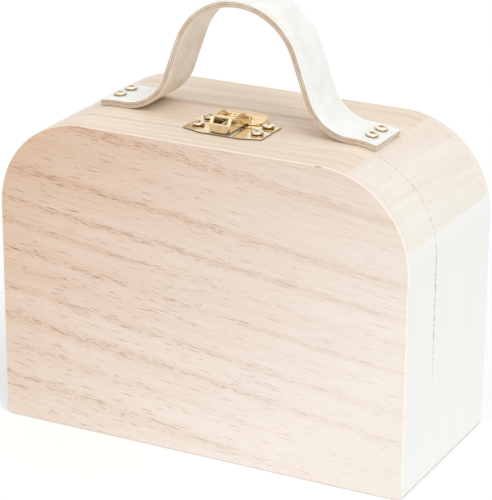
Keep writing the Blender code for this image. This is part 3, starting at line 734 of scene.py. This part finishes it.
def plySection(sizes, low, high, grooveSide):
    # The ply's cross-section as (across, rise), with a stitching groove near each edge.
    half, small, steps = strapHalf, sizes["edgeRound"], sizes["roundSteps"]
    corners = ((half - small, low + small, -pi / 2), (half - small, high - small, 0),
               (small - half, high - small, pi / 2), (small - half, low + small, pi))
    outline = []
    for x, rise, start in corners:
        outline += arcPoints((x, rise), small, start, start + pi / 2, steps)
    middle, reach = half - sizes["grooveInset"], sizes["grooveWidth"] / 2
    face = high if grooveSide > 0 else low
    grooves = []
    for centre in (middle, -middle):
        for offset in evenly(reach, -reach, sizes["grooveSteps"]):
            dip = sizes["grooveDepth"] * (1 + cos(pi * offset / reach)) / 2
            grooves.append((centre + offset, face - grooveSide * dip))
    if grooveSide > 0:
        return outline[:2 * (steps + 1)] + grooves + outline[2 * (steps + 1):]
    return grooves[::-1] + outline


def sweepTree():
    # A closed section, drawn in XY, carried along a path in the XZ plane.
    bench, given = startTree(
        "strapSweep", ("Section", "Object"), ("Material", "Material"), ("Low", "Float", 0.0),
        ("High", "Float", 1.0), ("Half Width", "Float", 1.0), ("Edge Round", "Float", 1.0))
    upright = bench.make("GeometryNodeSetCurveNormal", {
        "Curve": meshCurve(bench, given["Geometry"]), "Normal": (0, 1, 0)}, mode="FREE")
    section = meshCurve(bench, objectShape(bench, given["Section"]))
    spot = bench.split(bench.make("GeometryNodeInputPosition"))
    rim = bench.minus(given["Half Width"], given["Edge Round"])
    marks = dict(plyRise=bench.span(spot["Y"], given["Low"], given["High"]),
                 plyEdge=bench.span(bench.size(spot["X"]), rim, given["Half Width"]))
    for label, value in marks.items():
        section = bench.make("GeometryNodeStoreNamedAttribute", {
            "Geometry": section, "Name": label, "Value": value}, data_type="FLOAT", domain="POINT")
    swept = bench.make("GeometryNodeCurveToMesh", {
        "Curve": upright, "Profile Curve": section, "Fill Caps": True})
    return endTree(bench, swept, given["Material"])


def stitchTree():
    # Threads laid along a row beside the path.
    bench, given = startTree(
        "stitchRow", ("Stitch", "Object"), ("Material", "Material"), ("Across", "Float", 0.0),
        ("Rise", "Float", 0.0), ("Pitch", "Float", 1.0), ("Start", "Float", 0.0),
        ("Wobble", "Float", 0.0), ("Outward", "Float", 1.0), ("Seed", "Int", 1))
    path = meshCurve(bench, given["Geometry"])
    length = bench.make("GeometryNodeCurveLength", {"Curve": path})
    trim = bench.make("GeometryNodeTrimCurve", {
        "Curve": path, 4: given["Start"], 5: bench.minus(length, given["Start"])}, mode="LENGTH")
    row = bench.make("GeometryNodeResampleCurve", {"Curve": trim, "Length": given["Pitch"]}, mode="LENGTH")
    tangent = bench.make("GeometryNodeInputTangent")
    up = bench.scaled(bench.vector("CROSS_PRODUCT", tangent, (0, 1, 0)), given["Outward"])
    along = bench.make("FunctionNodeAlignRotationToVector", {"Vector": tangent}, axis="X")
    faced = bench.make("FunctionNodeAlignRotationToVector", {"Rotation": along, "Vector": up},
                       axis="Z", pivot_axis="X")
    wobble = bench.add("FunctionNodeRandomValue", {
        2: bench.times(given["Wobble"], -1.0), 3: given["Wobble"], "Seed": given["Seed"]},
        data_type="FLOAT").outputs[1]
    offset = bench.vector("ADD", bench.scaled(up, given["Rise"]), bench.join(Y=given["Across"]))
    level = bench.make("GeometryNodeSetPosition", {"Geometry": row, "Offset": offset})
    return placeCopies(bench, level, given["Stitch"], faced, wobble, given["Material"])


def stitchShape(sizes):
    # One thread: a short round bar whose ends dip into the leather.
    build = bmesh.new()
    bmesh.ops.create_cone(build, cap_ends=True, segments=sizes["stitchSides"], radius1=1, radius2=1, depth=2)
    sides = [e for e in build.edges if abs(e.verts[0].co.z - e.verts[1].co.z) > 1]
    bmesh.ops.subdivide_edges(build, edges=sides, cuts=sizes["stitchCuts"])
    for vert in build.verts:
        x, y, share = vert.co
        thin = sizes["threadRadius"] * (1 - sizes["stitchThin"] * share ** 4)
        dip = sizes["threadRadius"] * sizes["stitchDip"] * share ** 4
        vert.co = (share * sizes["stitchLength"] / 2, x * thin, y * thin - dip)
    bmesh.ops.recalc_face_normals(build, faces=build.faces)
    item = finishBuild("stitchShape", build)
    item.data.shade_smooth()
    return item


def makeStrap(sizes):
    run = lineMesh("strapRun", [(x, strapMiddleY, z) for x, z in strapPath(sizes)])
    sweep, rows, stitch = sweepTree(), stitchTree(), stitchShape(sizes)
    reach, glued = seam / 2 + plyThickness, caseSizes["closed"]
    plies = (("strapFace", "handle_strap_outer", glued, reach, 1, leatherFace, "leather"),
             ("strapLining", "handle_strap_lining", -reach, -glued, -1, leatherLining, "leather_lining"))
    for name, node, low, high, grooveSide, finish, slot in plies:
        outline = plySection(sizes, low, high, grooveSide)
        section = addObject(name + "Section", lineMesh(name + "Section", [(x, y, 0) for x, y in outline], True))
        ply = growFrom(run, sweep, {
            "Section": section, "Material": finish, "Low": low, "High": high, "Half Width": strapHalf,
            "Edge Round": sizes["edgeRound"] * sizes["edgeTone"]}, name)
        bpy.data.objects.remove(section)
        shadeByAngle(ply)
        hand(ply, "base", [node])
        for edgeSide, label in ((-1, "Front"), (1, "Rear")):
            row = growFrom(run, rows, {
                "Stitch": stitch, "Material": threadFinish,
                "Across": edgeSide * (strapHalf - sizes["grooveInset"]),
                "Rise": reach - sizes["threadRadius"] * sizes["stitchSink"], "Pitch": sizes["stitchPitch"],
                "Start": sizes["stitchStart"], "Wobble": sizes["wobble"], "Outward": grooveSide,
                "Seed": sizes["seed"] + edgeSide}, name + "Stitches" + label)
            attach(row, "base")
    bpy.data.objects.remove(stitch)


makeStrap(strapSizes)
print("handle strap sewn")


# Brass, in mm

brassLook = dict(
    # The side tone and its share paint a dark reflection on faces that stand upright.
    latch=dict(tone=paint(243, 225, 188), deepTone=paint(219, 190, 142), sideTone=paint(200, 164, 104),
               sideShare=0.2, roughness=0.14),
    screw=dict(tone=paint(240, 230, 208), deepTone=paint(216, 196, 160), sideTone=paint(150, 118, 74),
               sideShare=0.75, roughness=0.16),
    hinge=dict(tone=paint(238, 214, 166), deepTone=paint(206, 170, 112), sideTone=paint(176, 140, 88),
               sideShare=0.4, roughness=0.24),
)
# Tarnish and dimples are the brass's own; the dark tone is painted shade in recesses, under the loop and low on
# the walls.
brassWearAndShade = dict(
    paintedShadeTone=paint(74, 62, 48), paintedShadeRoughness=0.3,
    tarnish=((2.6, 2.6, 2.6), 4.0, 0.6), tarnishRange=(0.42, 0.75), tarnishRoughness=0.07,
    dimple=(0.5, 0.5, 0.5), bumpDepth=0.02 * mm, bumpStrength=0.3,
    # The painted dark reflection grows as a face turns from lying flat to standing upright.
    upright=(0.8, 0.2),  # how flat a face lies, from top to side
    tabTone=paint(217, 192, 150), tabStart=(5.5, 8.0),  # the tab is duller, from this far back
    # Painted shade under the loop and low on the plates' walls, with how dark it is.
    shadeHalf=(5.9, 4.6), shadeFront=(-14.6, -13.2), shadeTop=(1.3, 0.9),  # under the loop
    wall=(0.72, 0.5), shadeShare=0.8,
)
latchMiddle = Vector((2.5 * mm, jointY, caseTop))


def latchShade(bench, spot):
    # Soft painted shade under the loop and along the plates' walls, and where the duller tab is.
    aside, back, rise = (bench.minus(spot[axis], start / mm) for axis, start in zip("XYZ", latchMiddle))
    under = bench.times(bench.step(bench.size(aside), *brassWearAndShade["shadeHalf"]),
                        bench.step(back, *brassWearAndShade["shadeFront"]), bench.step(rise, *brassWearAndShade["shadeTop"]))
    dark = bench.larger(under, bench.step(rise, *brassWearAndShade["wall"]))
    return bench.times(dark, brassWearAndShade["shadeShare"]), bench.step(back, *brassWearAndShade["tabStart"])


def makeBrass(name, look):
    # The painted-shade attribute is 1 in the recesses, and 0 on a piece that hasn't got it.
    wearAndShade = brassWearAndShade
    material, bench = startMaterial(name + "Brass")
    place = bench.place()
    grime = bench.attribute("grime")
    tarnish = bench.step(bench.noise(place, *wearAndShade["tarnish"]), *wearAndShade["tarnishRange"])
    rough = bench.line(tarnish, wearAndShade["tarnishRoughness"], look["roughness"])
    color = bench.blend(tarnish, look["tone"], look["deepTone"])
    if name == "latch":
        shade, tab = latchShade(bench, bench.split(place))
        color = bench.blend(tab, color, wearAndShade["tabTone"])
        # The latch's painted shade joins the painted shade of the recesses.
        grime = bench.larger(grime, shade)
    # Painted dark reflection on faces that stand upright.
    normal = bench.split(bench.add("ShaderNodeTexCoord").outputs["Normal"])
    side = bench.step(bench.size(normal["Z"]), *wearAndShade["upright"])
    color = bench.blend(bench.times(side, look["sideShare"]), color, look["sideTone"])
    endMaterial(bench, {
        "Base Color": bench.blend(grime, color, wearAndShade["paintedShadeTone"]),
        "Metallic": 1.0,
        "Roughness": bench.line(grime, wearAndShade["paintedShadeRoughness"], rough),
        "Normal": bench.bump(bench.noise(place, wearAndShade["dimple"]), wearAndShade["bumpDepth"], wearAndShade["bumpStrength"]),
    })
    return material


brass = {name: makeBrass(name, look) for name, look in brassLook.items()}


# Screws, in mm

screwSizes = dict(
    headRadius=2.9, headHeight=1.35, rimHeight=0.4, squareness=2.5, rimRound=0.15,
    shankRadius=1.2, bite=5.2, tip=1.4,
    crossReach=1.75, crossWidth=0.85, crossDepth=0.95, crossTaper=0.45, crossRound=0.05,
    turnSteps=56, domeSteps=12,
    plate=0.5,  # the latch plates that it holds
    solidHead=1.9,  # the head's height in the CAD
)
hingeScrewSizes = dict(
    headRadius=1.3, headHeight=0.0, shankRadius=0.6, cone=0.6, length=8.0, tip=1.0,
    crossReach=0.75, crossWidth=0.36, crossDepth=0.42, crossTaper=0.35, crossRound=0.02,
    turnSteps=32,
)
crossNarrow = 0.8  # the recess's width at its floor
# Painted shade in the cross recess, growing deeper downward, and a ring of it under the head's rim.
screwShade = dict(start=0.2, growth=2.5, rimLevel=0.75, rimHeights=(-0.01, 0.12), rimReach=0.98)


def lathe(name, profile, steps):
    # Turns (radius, height) points in mm, from the top down, about the z axis.
    build = bmesh.new()
    rings = []
    for radius, height in profile:
        turns = [2 * pi * i / steps for i in range(steps if radius else 1)]
        rings.append([build.verts.new((radius * cos(t), radius * sin(t), height)) for t in turns])
    for upper, lower in zip(rings, rings[1:]):
        for i in range(steps):
            order = ((upper, i), (lower, i), (lower, i + 1), (upper, i + 1))
            corners = dict.fromkeys(ring[k % len(ring)] for ring, k in order)
            build.faces.new(list(corners))
    bmesh.ops.recalc_face_normals(build, faces=build.faces)
    bmesh.ops.scale(build, verts=build.verts, vec=(mm, mm, mm))
    return finishBuild(name, build)


def combine(item, operation, *tools):
    for tool in tools:
        step = item.modifiers.new(tool.name, "BOOLEAN")
        step.operation = operation
        step.solver = "EXACT"
        step.object = tool


def finishMetal(item, name, tools, width):
    # Applies the cuts, rounds the edges that are left sharp and clears the tools away.
    edge = item.modifiers.new("softEdges", "BEVEL")
    edge.width = width * mm
    edge.segments = 2
    edge.limit_method = "ANGLE"
    edge.angle_limit = smoothLimit
    edge.use_clamp_overlap = True
    made = freeze(item, name)
    for tool in tools:
        bpy.data.objects.remove(tool)
    shadeByAngle(made)
    faceNormals(made)
    return freeze(made, name)


def crossWing(sizes, turn):
    # One of the two tapered wedges that make a cross recess.
    build = bmesh.new()
    bmesh.ops.create_cube(build, size=2)
    for vert in build.verts:
        x, y, z = vert.co
        taper, narrow = (share if z < 0 else 2 - share for share in (sizes["crossTaper"], crossNarrow))
        vert.co = Vector((x * sizes["crossReach"] * taper, y * sizes["crossWidth"] / 2 * narrow,
                          z * sizes["crossDepth"] + sizes["headHeight"])) * mm
    bmesh.ops.rotate(build, verts=build.verts, matrix=Matrix.Rotation(turn, 3, "Z"))
    return finishBuild("crossWing", build)


def screwShape(name, profile, sizes):
    # A turned screw with a cross recess, and painted shade in the recess and under the rim.
    item = lathe(name, profile, sizes["turnSteps"])
    wings = [crossWing(sizes, turn) for turn in (0, pi / 2)]
    combine(item, "DIFFERENCE", *wings)
    made = finishMetal(item, name, wings, sizes["crossRound"])
    # Painted shade by depth in the recess and on the rim's underside.
    low, high = screwShade["rimHeights"]
    grime = made.data.attributes.new("grime", "FLOAT", "POINT")
    for vert, mark in zip(made.data.vertices, grime.data):
        x, y, z = vert.co / mm
        reach, level = hypot(x, y), 0
        if reach < sizes["crossReach"]:
            level = (sizes["headHeight"] - screwShade["start"] - z) / sizes["crossDepth"] * screwShade["growth"]
        if low < z < high and reach > sizes["headRadius"] * screwShade["rimReach"]:
            level = max(level, screwShade["rimLevel"])
        mark.value = min(max(level, 0), 1)
    return made


def panProfile(sizes, held):
    # A pan head over a shank that goes through what it holds and then bites into the wood.
    radius, length, power = sizes["headRadius"], held + sizes["bite"], 2 / sizes["squareness"]
    dome = [(0, sizes["headHeight"])]
    for turn in evenly(pi / 2, 0, sizes["domeSteps"])[1:]:
        rise = (sizes["headHeight"] - sizes["rimHeight"]) * abs(sin(turn)) ** power
        dome.append((radius * cos(turn) ** power, sizes["rimHeight"] + rise))
    return dome + [(radius, sizes["rimRound"]), (radius - sizes["rimRound"], 0), (sizes["shankRadius"], 0),
                   (sizes["shankRadius"], sizes["tip"] - length), (0, -length)]


def sunkProfile(sizes):
    shank, length = sizes["shankRadius"], sizes["length"]
    return [(0, 0), (sizes["headRadius"], 0), (shank, -sizes["cone"]), (shank, sizes["tip"] - length),
            (0, -length)]


def screwTree():
    # A screw on each point, along its outward attribute, each one turned by chance.
    bench, given = startTree("screwSet", ("Screw", "Object"), ("Material", "Material"), ("Seed", "Int", 1))
    outward = bench.make("GeometryNodeInputNamedAttribute", {"Name": "outward"}, data_type="FLOAT_VECTOR")
    upright = bench.make("FunctionNodeAlignRotationToVector", {"Vector": outward}, axis="Z")
    chance = bench.add("FunctionNodeRandomValue", {3: pi / 2, "Seed": given["Seed"]},
                       data_type="FLOAT").outputs[1]
    return placeCopies(bench, given["Geometry"], given["Screw"], upright, chance, given["Material"])


def panSeat(node):
    # Where a CAD pan screw's head rests and which way it points, from its tip and its top.
    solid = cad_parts[node]
    corners = [solid.matrix_world @ vert.co for vert in solid.data.vertices]
    middle = sum(corners, Vector()) / len(corners)
    tip = max(corners, key=lambda corner: (corner - middle).length)
    top = max(corners, key=lambda corner: (corner - tip).length)
    outward = (top - tip).normalized()
    return top - outward * screwSizes["solidHead"] * mm, outward


def sunkSeat(node):
    low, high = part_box(node)
    side = 1 if "base" in node else -1
    place = Vector(((low.x + high.x) / 2, low.y if side > 0 else high.y, (low.z + high.z) / 2))
    return place, Vector((0, -side, 0))


def placeScrews(name, body, nodes, seat, shape, tree, seed):
    seats = [seat(node) for node in nodes]
    points = bpy.data.meshes.new(name + "Points")
    points.from_pydata([place for place, outward in seats], [], [])
    marks = points.attributes.new("outward", "FLOAT_VECTOR", "POINT")
    for mark, (place, outward) in zip(marks.data, seats):
        mark.vector = outward
    made = growFrom(points, tree, {"Screw": shape, "Material": brass["screw"], "Seed": seed}, name)
    hand(made, body, nodes)


def addScrews():
    tree = screwTree()
    strapHeld = (strapThickness + 2 * seam) / mm
    plateHeld = screwSizes["plate"] + 2 * seam / mm
    strapScrew = screwShape("strapScrew", panProfile(screwSizes, strapHeld), screwSizes)
    plateScrew = screwShape("plateScrew", panProfile(screwSizes, plateHeld), screwSizes)
    hingeScrew = screwShape("hingeScrew", sunkProfile(hingeScrewSizes), hingeScrewSizes)
    sets = (("handleScrews", "base", "handle_screw_", 4, panSeat, strapScrew, 3),
            ("leverPlateScrews", "base", "latch_lever_plate_screw_", 2, panSeat, plateScrew, 11),
            ("catchPlateScrews", "lid", "latch_catch_screw_", 2, panSeat, plateScrew, 5),
            ("baseHingeScrews", "base", "hinge_base_screw_", 4, sunkSeat, hingeScrew, 8),
            ("lidHingeScrews", "lid", "hinge_lid_screw_", 4, sunkSeat, hingeScrew, 9))
    for name, body, prefix, count, seat, shape, seed in sets:
        placeScrews(name, body, [prefix + str(i + 1) for i in range(count)], seat, shape, tree, seed)
    for shape in (strapScrew, plateScrew, hingeScrew):
        bpy.data.objects.remove(shape)


addScrews()
print("screws set")


# Latch, in mm from its middle on the joint and the top face

latchSizes = dict(
    sheet=0.5, lift=0.3,
    plateHalf=19.2, noseHalf=10.0, noseDepth=3.0, setOff=0.5, catchDepth=13.5, leverDepth=11.0,
    cornerRound=0.5, plateRound=0.12, edgeRound=0.07,
    pivot=(1.9, 3.6), loopPivot=(6.4, 3.1), eyeRadius=1.2, pinRadius=0.6, boreRadius=0.68,
    earInside=3.55, armInside=4.55, armOutside=5.05, root=0.5,  # the root is inside the plate's sheet
    leverHalf=3.2, cheekInset=0.1, sheetRise=1.6, tabRise=3.3, riseStart=5.8, riseEnd=12.0,
    tabHalf=11.4, tabDepth=12.2, tabEnd=15.6, tabSquareness=2.5, tabNeck=radians(75),
    front=-13.5, foot=1.9, lipRise=4.8, slopeDepth=3.2, topRise=7.7, barEnd=-8.2,
    archStart=-7.0, archTop=-2.2, archRise=8.0, foldRound=0.42, lipTaper=(1.15, 1.9),
    windowHalf=3.4, windowStart=-13.1, windowEnd=-10.8, windowRound=0.5,
    hookHalf=3.0, hookHeight=4.2, hookCorner=0.8, hookPlay=0.3, slotDepth=3.0,
    rivetRadius=0.95, rivetRise=0.3, rivetRound=0.12, leverPinHalf=4.35,
    curveSteps=18, tabSteps=88, lineSteps=64, cornerSteps=8, backSteps=16, frontSteps=12,
    earSteps=20, eyeSteps=24, boreSteps=32, rivetSteps=40,
    near=0.001, small=0.01, lap=0.02,  # room for rounding errors, and how far forms reach into each other
)
# Painted shade on the loop's arms and under its sheet.
loopShade = dict(arms=0.2, armsFrom=0.1, under=0.72, frontFrom=0.25, below=0.3)
latchPlace = Matrix.Translation(latchMiddle) @ Matrix.Scale(mm, 4)


def prism(outline, low, high, axis):
    # A flat outline carried from low to high along an axis, in the latch's own millimetres.
    turns = dict(x=lambda a, b: (low, a, b), y=lambda a, b: (a, low, b), z=lambda a, b: (a, b, low))
    return extrude(outline, [(high - low) * (axis == name) for name in "xyz"], turns[axis])


def placed(name, build):
    build.transform(latchPlace)
    return finishBuild(name, build)


def solid(name, outline, low, high, axis):
    return placed(name, prism(outline, low, high, axis))


def solidPair(name, outline, inside, outside):
    # The same solid on both sides, between two distances from the middle.
    return [solid(name, outline, *sorted((side * inside, side * outside)), "x") for side in (-1, 1)]


def circle(place, radius, steps):
    return arcPoints(place, radius, 0, 2 * pi, steps)[:-1]


def bore(place, half, radius=latchSizes["boreRadius"]):
    return solid("bore", circle(place, radius, latchSizes["boreSteps"]), -half, half, "x")


def rounded(corners, radius, steps=5):
    # An outline with each corner swapped for an arc that leaves both sides without a kink.
    outline = []
    for before, corner, after in zip(corners[-1:] + corners, corners, corners[1:] + corners[:1]):
        a, b, c = Vector(before), Vector(corner), Vector(after)
        into, out = (b - a).normalized(), (c - b).normalized()
        cut = radius * tan(into.angle(out) / 2)
        start, end = b - into * cut, b + out * cut
        outline += [start.lerp(b, share).lerp(b.lerp(end, share), share) for share in evenly(0, 1, steps)]
    return outline


def ease(low, high, share):
    return low + (high - low) * (1 - cos(pi * min(max(share, 0), 1))) / 2


def bridge(start, end, steps):
    # Points that leave the one place level and reach the other level.
    (a, low), (b, high) = start, end
    return [(a + (b - a) * share, ease(low, high, share)) for share in evenly(0, 1, steps)]


def squared(value, squareness):
    return copysign(abs(value) ** (2 / squareness), value)


def plateSheet(name, depth, side):
    s = latchSizes
    half, nose, near, far = s["plateHalf"], s["noseHalf"], s["setOff"], s["setOff"] + depth
    corners = [(-half, near), (half, near), (half, far - s["noseDepth"]), (nose, far), (-nose, far),
               (-half, far - s["noseDepth"])]
    top = s["lift"] + s["sheet"]
    build = prism([(x, side * u) for x, u in rounded(corners, s["cornerRound"])], s["lift"], top, "z")
    roundEdges(build, s["plateRound"], 3, lambda e: all(abs(v.co.z - top) < s["near"] for v in e.verts))
    return placed(name, build)


def finishPart(item, name, tools, body, node, width=latchSizes["edgeRound"]):
    made = finishMetal(item, name, tools, width)
    hand(made, body, [node], brass["latch"])
    return made


def makeCatchPlate():
    s = latchSizes
    item = plateSheet("catchPlate", s["catchDepth"], -1)
    face = s["front"] + s["sheet"] + s["hookPlay"]
    back = face + s["sheet"]
    half, corner, level = s["hookHalf"], s["hookCorner"], s["hookHeight"] - s["hookCorner"]
    outline = [(-half, s["root"]), (half, s["root"])]
    outline += arcPoints((half - corner, level), corner, 0, pi / 2, s["cornerSteps"])
    outline += arcPoints((corner - half, level), corner, pi / 2, pi, s["cornerSteps"])
    hook = solid("hook", outline, face, back, "y")
    opening = [(-half, back), (half, back), (half, back + s["slotDepth"]), (-half, back + s["slotDepth"])]
    slot = solid("hookSlot", opening, -1, 2, "z")
    combine(item, "UNION", hook)
    combine(item, "DIFFERENCE", slot)
    finishPart(item, "catchPlate", [hook, slot], "lid", "latch_catch_plate")


def makeLeverPlate():
    s = latchSizes
    item = plateSheet("leverPlate", s["leverDepth"], 1)
    u, eye = s["pivot"][0], s["eyeRadius"]
    outline = arcPoints(s["pivot"], eye, 0, pi, s["earSteps"]) + [(u - eye, s["root"]), (u + eye, s["root"])]
    ears = solidPair("ear", outline, s["earInside"], s["earInside"] + s["sheet"])
    hole = bore(s["pivot"], s["armOutside"])
    combine(item, "UNION", *ears)
    combine(item, "DIFFERENCE", hole)
    finishPart(item, "leverPlate", [*ears, hole], "base", "latch_lever_plate")


def makeLever():
    s = latchSizes
    (u, rise), (rear, rearRise) = s["pivot"], s["loopPivot"]

    def level(back):
        return ease(s["sheetRise"], s["tabRise"], (back - s["riseStart"]) / (s["riseEnd"] - s["riseStart"]))

    line = evenly(u - 1, s["tabEnd"] + 1, s["lineSteps"])
    outline = [(back, level(back)) for back in line] + [(back, level(back) - s["sheet"]) for back in line[::-1]]
    item = solid("lever", outline, -s["tabHalf"] - 1, s["tabHalf"] + 1, "x")

    depth = s["tabDepth"] / 2
    plan = [(s["tabHalf"] * squared(cos(turn), s["tabSquareness"]),
             s["tabEnd"] - depth + depth * squared(sin(turn), s["tabSquareness"]))
            for turn in evenly(-s["tabNeck"], pi + s["tabNeck"], s["tabSteps"])]
    half = s["leverHalf"]
    plan += [(-half, plan[-1][1]), (-half, u), (half, u), (half, plan[0][1])]
    sheet = solid("tabPlan", plan, -1, s["tabRise"] + 1, "z")

    start, end, outside = u + s["cheekInset"], rear + s["eyeRadius"], half - s["cheekInset"]
    cheek = arcPoints((start, rise), s["eyeRadius"], pi / 2, pi * 3 / 2, s["backSteps"])
    cheek += [(back, level(back) - s["sheet"] / 2) for back in evenly(start, end, s["frontSteps"])]
    cheek += arcPoints((rear, rearRise), s["eyeRadius"], 0, pi / 2, s["frontSteps"])
    cheeks = solidPair("cheek", cheek, outside - s["sheet"], outside)
    holes = [bore(place, s["armOutside"]) for place in (s["pivot"], s["loopPivot"])]
    combine(item, "INTERSECT", sheet)
    combine(item, "UNION", *cheeks)
    combine(item, "DIFFERENCE", *holes)
    finishPart(item, "lever", [sheet, *cheeks, *holes], "lever", "latch_lever")


def markInside(item, line):
    # Painted shade under the loop's sheet, and less of it on the inner faces of its arms.
    s = latchSizes
    grime = item.data.attributes.new("grime", "FLOAT", "POINT")
    for vert, mark in zip(item.data.vertices, grime.data):
        x, back, rise = latchPlace.inverted() @ vert.co
        if abs(x) > s["armInside"] + s["lap"]:
            continue
        before = max((point for point in line if point[0] <= back + s["small"]), default=line[0])
        inside = back > s["front"] + loopShade["frontFrom"] and rise < before[1] - loopShade["below"]
        arms = back > s["barEnd"] + loopShade["armsFrom"]
        mark.value = loopShade["arms"] if arms else loopShade["under"] * inside


def makeLoop():
    s = latchSizes
    rear, rise = s["loopPivot"]
    foot, front, out, steps = s["foot"], s["front"], s["armOutside"], s["curveSteps"]
    line = [(front, foot)]
    low, high = s["lipRise"], s["topRise"]
    line += [(front + s["slopeDepth"] * share, low + (high - low) * sin(pi / 2 * share))
             for share in evenly(0, 1, steps)]
    line += [(s["barEnd"], s["topRise"])]
    outline = line + bridge((s["archStart"], s["topRise"]), (s["archTop"], s["archRise"]), steps)
    outline += bridge((s["archTop"], s["archRise"]), (rear, rise + s["eyeRadius"]), steps)[1:-1]
    outline += arcPoints((rear, rise), s["eyeRadius"], pi / 2, -pi / 2, s["eyeSteps"])
    build = prism(outline, -out, out, "x")

    def isFold(edge):
        a, b = (v.co for v in edge.verts)
        alongSide = abs(abs(a.x) - out) < s["near"] and abs(a.x - b.x) < s["near"]
        aboveFoot = min(a.z, b.z) > foot - s["small"] and max(a.z, b.z) > foot + s["small"]
        return alongSide and aboveFoot and max(a.y, b.y) < rear

    roundEdges(build, s["foldRound"], 4, isFold)
    item = placed("loop", build)

    inner = []
    for before, point, after in zip(line[:1] + line, line, line[1:] + line[-1:]):
        along = (Vector(after) - Vector(before)).normalized()
        inner.append((point[0] + along.y * s["sheet"], point[1] - along.x * s["sheet"]))
    hollow = [(inner[0][0], -1)] + inner[1:] + [(s["barEnd"], 10), (rear + 3, 10), (rear + 3, -1)]
    tools = [solid("hollow", hollow, -s["armInside"], s["armInside"], "x")]
    half, start, end = s["windowHalf"], s["windowStart"], s["windowEnd"]
    plan = rounded([(-half, start), (half, start), (half, end), (-half, end)], s["windowRound"])
    tools.append(solid("window", plan, s["lipRise"], 12, "z"))
    side, up = s["lipTaper"]
    corner = ((out + 0.5, foot - 0.5), (out - side, foot - 0.5), (out - side, foot),
              (out + s["small"], foot + up), (out + 0.5, foot + up))
    for sign in (-1, 1):
        ends = [(sign * x, z) for x, z in corner]
        tools.append(solid("lipCorner", ends, front - 1, front + s["sheet"] + s["lap"], "y"))
    tools.append(bore(s["loopPivot"], out + 1))
    combine(item, "DIFFERENCE", *tools)
    markInside(finishPart(item, "loop", tools, "loop", "latch_loop"), line)


def makePins():
    # Plain pins whose ends are set into low rivet heads.
    s = latchSizes
    loopPinHalf = s["armOutside"] + s["rivetRise"]
    pins = (("leverPin", "base", "latch_lever_pin", s["pivot"], s["leverPinHalf"], s["pinRadius"]),
            ("loopPin", "lever", "latch_loop_pin", s["loopPivot"], loopPinHalf, s["rivetRadius"]))
    for name, body, node, place, half, head in pins:
        item = bore(place, half - s["lap"], s["pinRadius"])
        rivets = solidPair("rivet", circle(place, head, s["rivetSteps"]), half - s["rivetRise"], half)
        combine(item, "UNION", *rivets)
        finishPart(item, name, rivets, body, node, s["rivetRound"])


makeCatchPlate()
makeLeverPlate()
makeLever()
makeLoop()
makePins()
print("latch made")


# Hinges and bottom rails, as softened copies of their CAD nodes

softSizes = dict(hinge=0.06, rail=0.2, flat=radians(0.5))


def softCopy(node, body, material, width):
    build = bmesh.new()
    build.from_mesh(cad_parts[node].data)
    build.transform(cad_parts[node].matrix_world)
    bmesh.ops.remove_doubles(build, verts=build.verts, dist=mergeGap)
    bmesh.ops.dissolve_limit(build, angle_limit=softSizes["flat"], verts=build.verts, edges=build.edges)
    name = pieceName(node)
    hand(finishMetal(finishBuild(name, build), name, [], width), body, [node], material)


for side in ("left", "right"):
    for node, body in (("hinge_lid_leaf_", "lid"), ("hinge_base_leaf_", "base"), ("hinge_pin_", "base")):
        softCopy(node + side, body, brass["hinge"], softSizes["hinge"])
for half in ("lid", "base"):
    softCopy(half + "_bottom_rail", half, woods["side"], softSizes["rail"])
print("hinges and bottom rails softened")


# Floor, light and background

studio = dict(
    floorSize=6.0,
    floorDrop=0.05 * mm,  # below the feet
    floorTone=paint(252, 252, 252), floorRoughness=0.9, floorGloss=0.1,
    skyTone=(1, 1, 1, 1),
    skyLevel=0.55,
    lamps=(
        # name, direction that it shines from, strength, angle in degrees, colour
        ("keyLamp", (0.55, -0.35, 0.76), 1.1, 40, (1.0, 1.0, 1.0)),
        ("overheadLamp", (-0.1, 0.1, 1.0), 0.6, 90, (1.0, 1.0, 1.0)),
        ("fillLamp", (0.05, -1.0, 0.25), 0.55, 60, (1.0, 1.0, 1.0)),
    ),
)


def makeStudio(look):
    build = bmesh.new()
    bmesh.ops.create_grid(build, x_segments=2, y_segments=2, size=look["floorSize"] / 2)
    bmesh.ops.translate(build, verts=build.verts, vec=(0, 0, -look["floorDrop"]))
    floor = finishBuild("studioFloor", build)
    material, bench = startMaterial("studioPaper")
    endMaterial(bench, {"Base Color": look["floorTone"], "Roughness": look["floorRoughness"],
                        "Specular IOR Level": look["floorGloss"]})
    floor.data.materials.append(material)

    world = bpy.data.worlds.new("studioWorld")
    world.use_nodes = True
    world.node_tree.nodes.clear()
    bench = Bench(world.node_tree)
    rays = bench.add("ShaderNodeLightPath").outputs
    seen = bench.larger(rays["Is Camera Ray"], rays["Is Glossy Ray"])
    seen = bench.larger(seen, rays["Is Transmission Ray"])
    level = bench.line(seen, 1 - look["skyLevel"], look["skyLevel"])
    sky = bench.make("ShaderNodeBackground", {"Color": look["skyTone"], "Strength": level})
    bench.add("ShaderNodeOutputWorld", {"Surface": sky})
    bpy.context.scene.world = world

    for name, direction, strength, spread, color in look["lamps"]:
        lamp = bpy.data.lights.new(name, "SUN")
        lamp.energy = strength
        lamp.angle = radians(spread)
        lamp.color = color
        item = addObject(name, lamp)
        item.rotation_euler = Vector(direction).to_track_quat("Z", "Y").to_euler()


makeStudio(studio)
bpy.context.scene.view_settings.view_transform = "Standard"

bpy.context.view_layer.update()
print("floor and lights set")
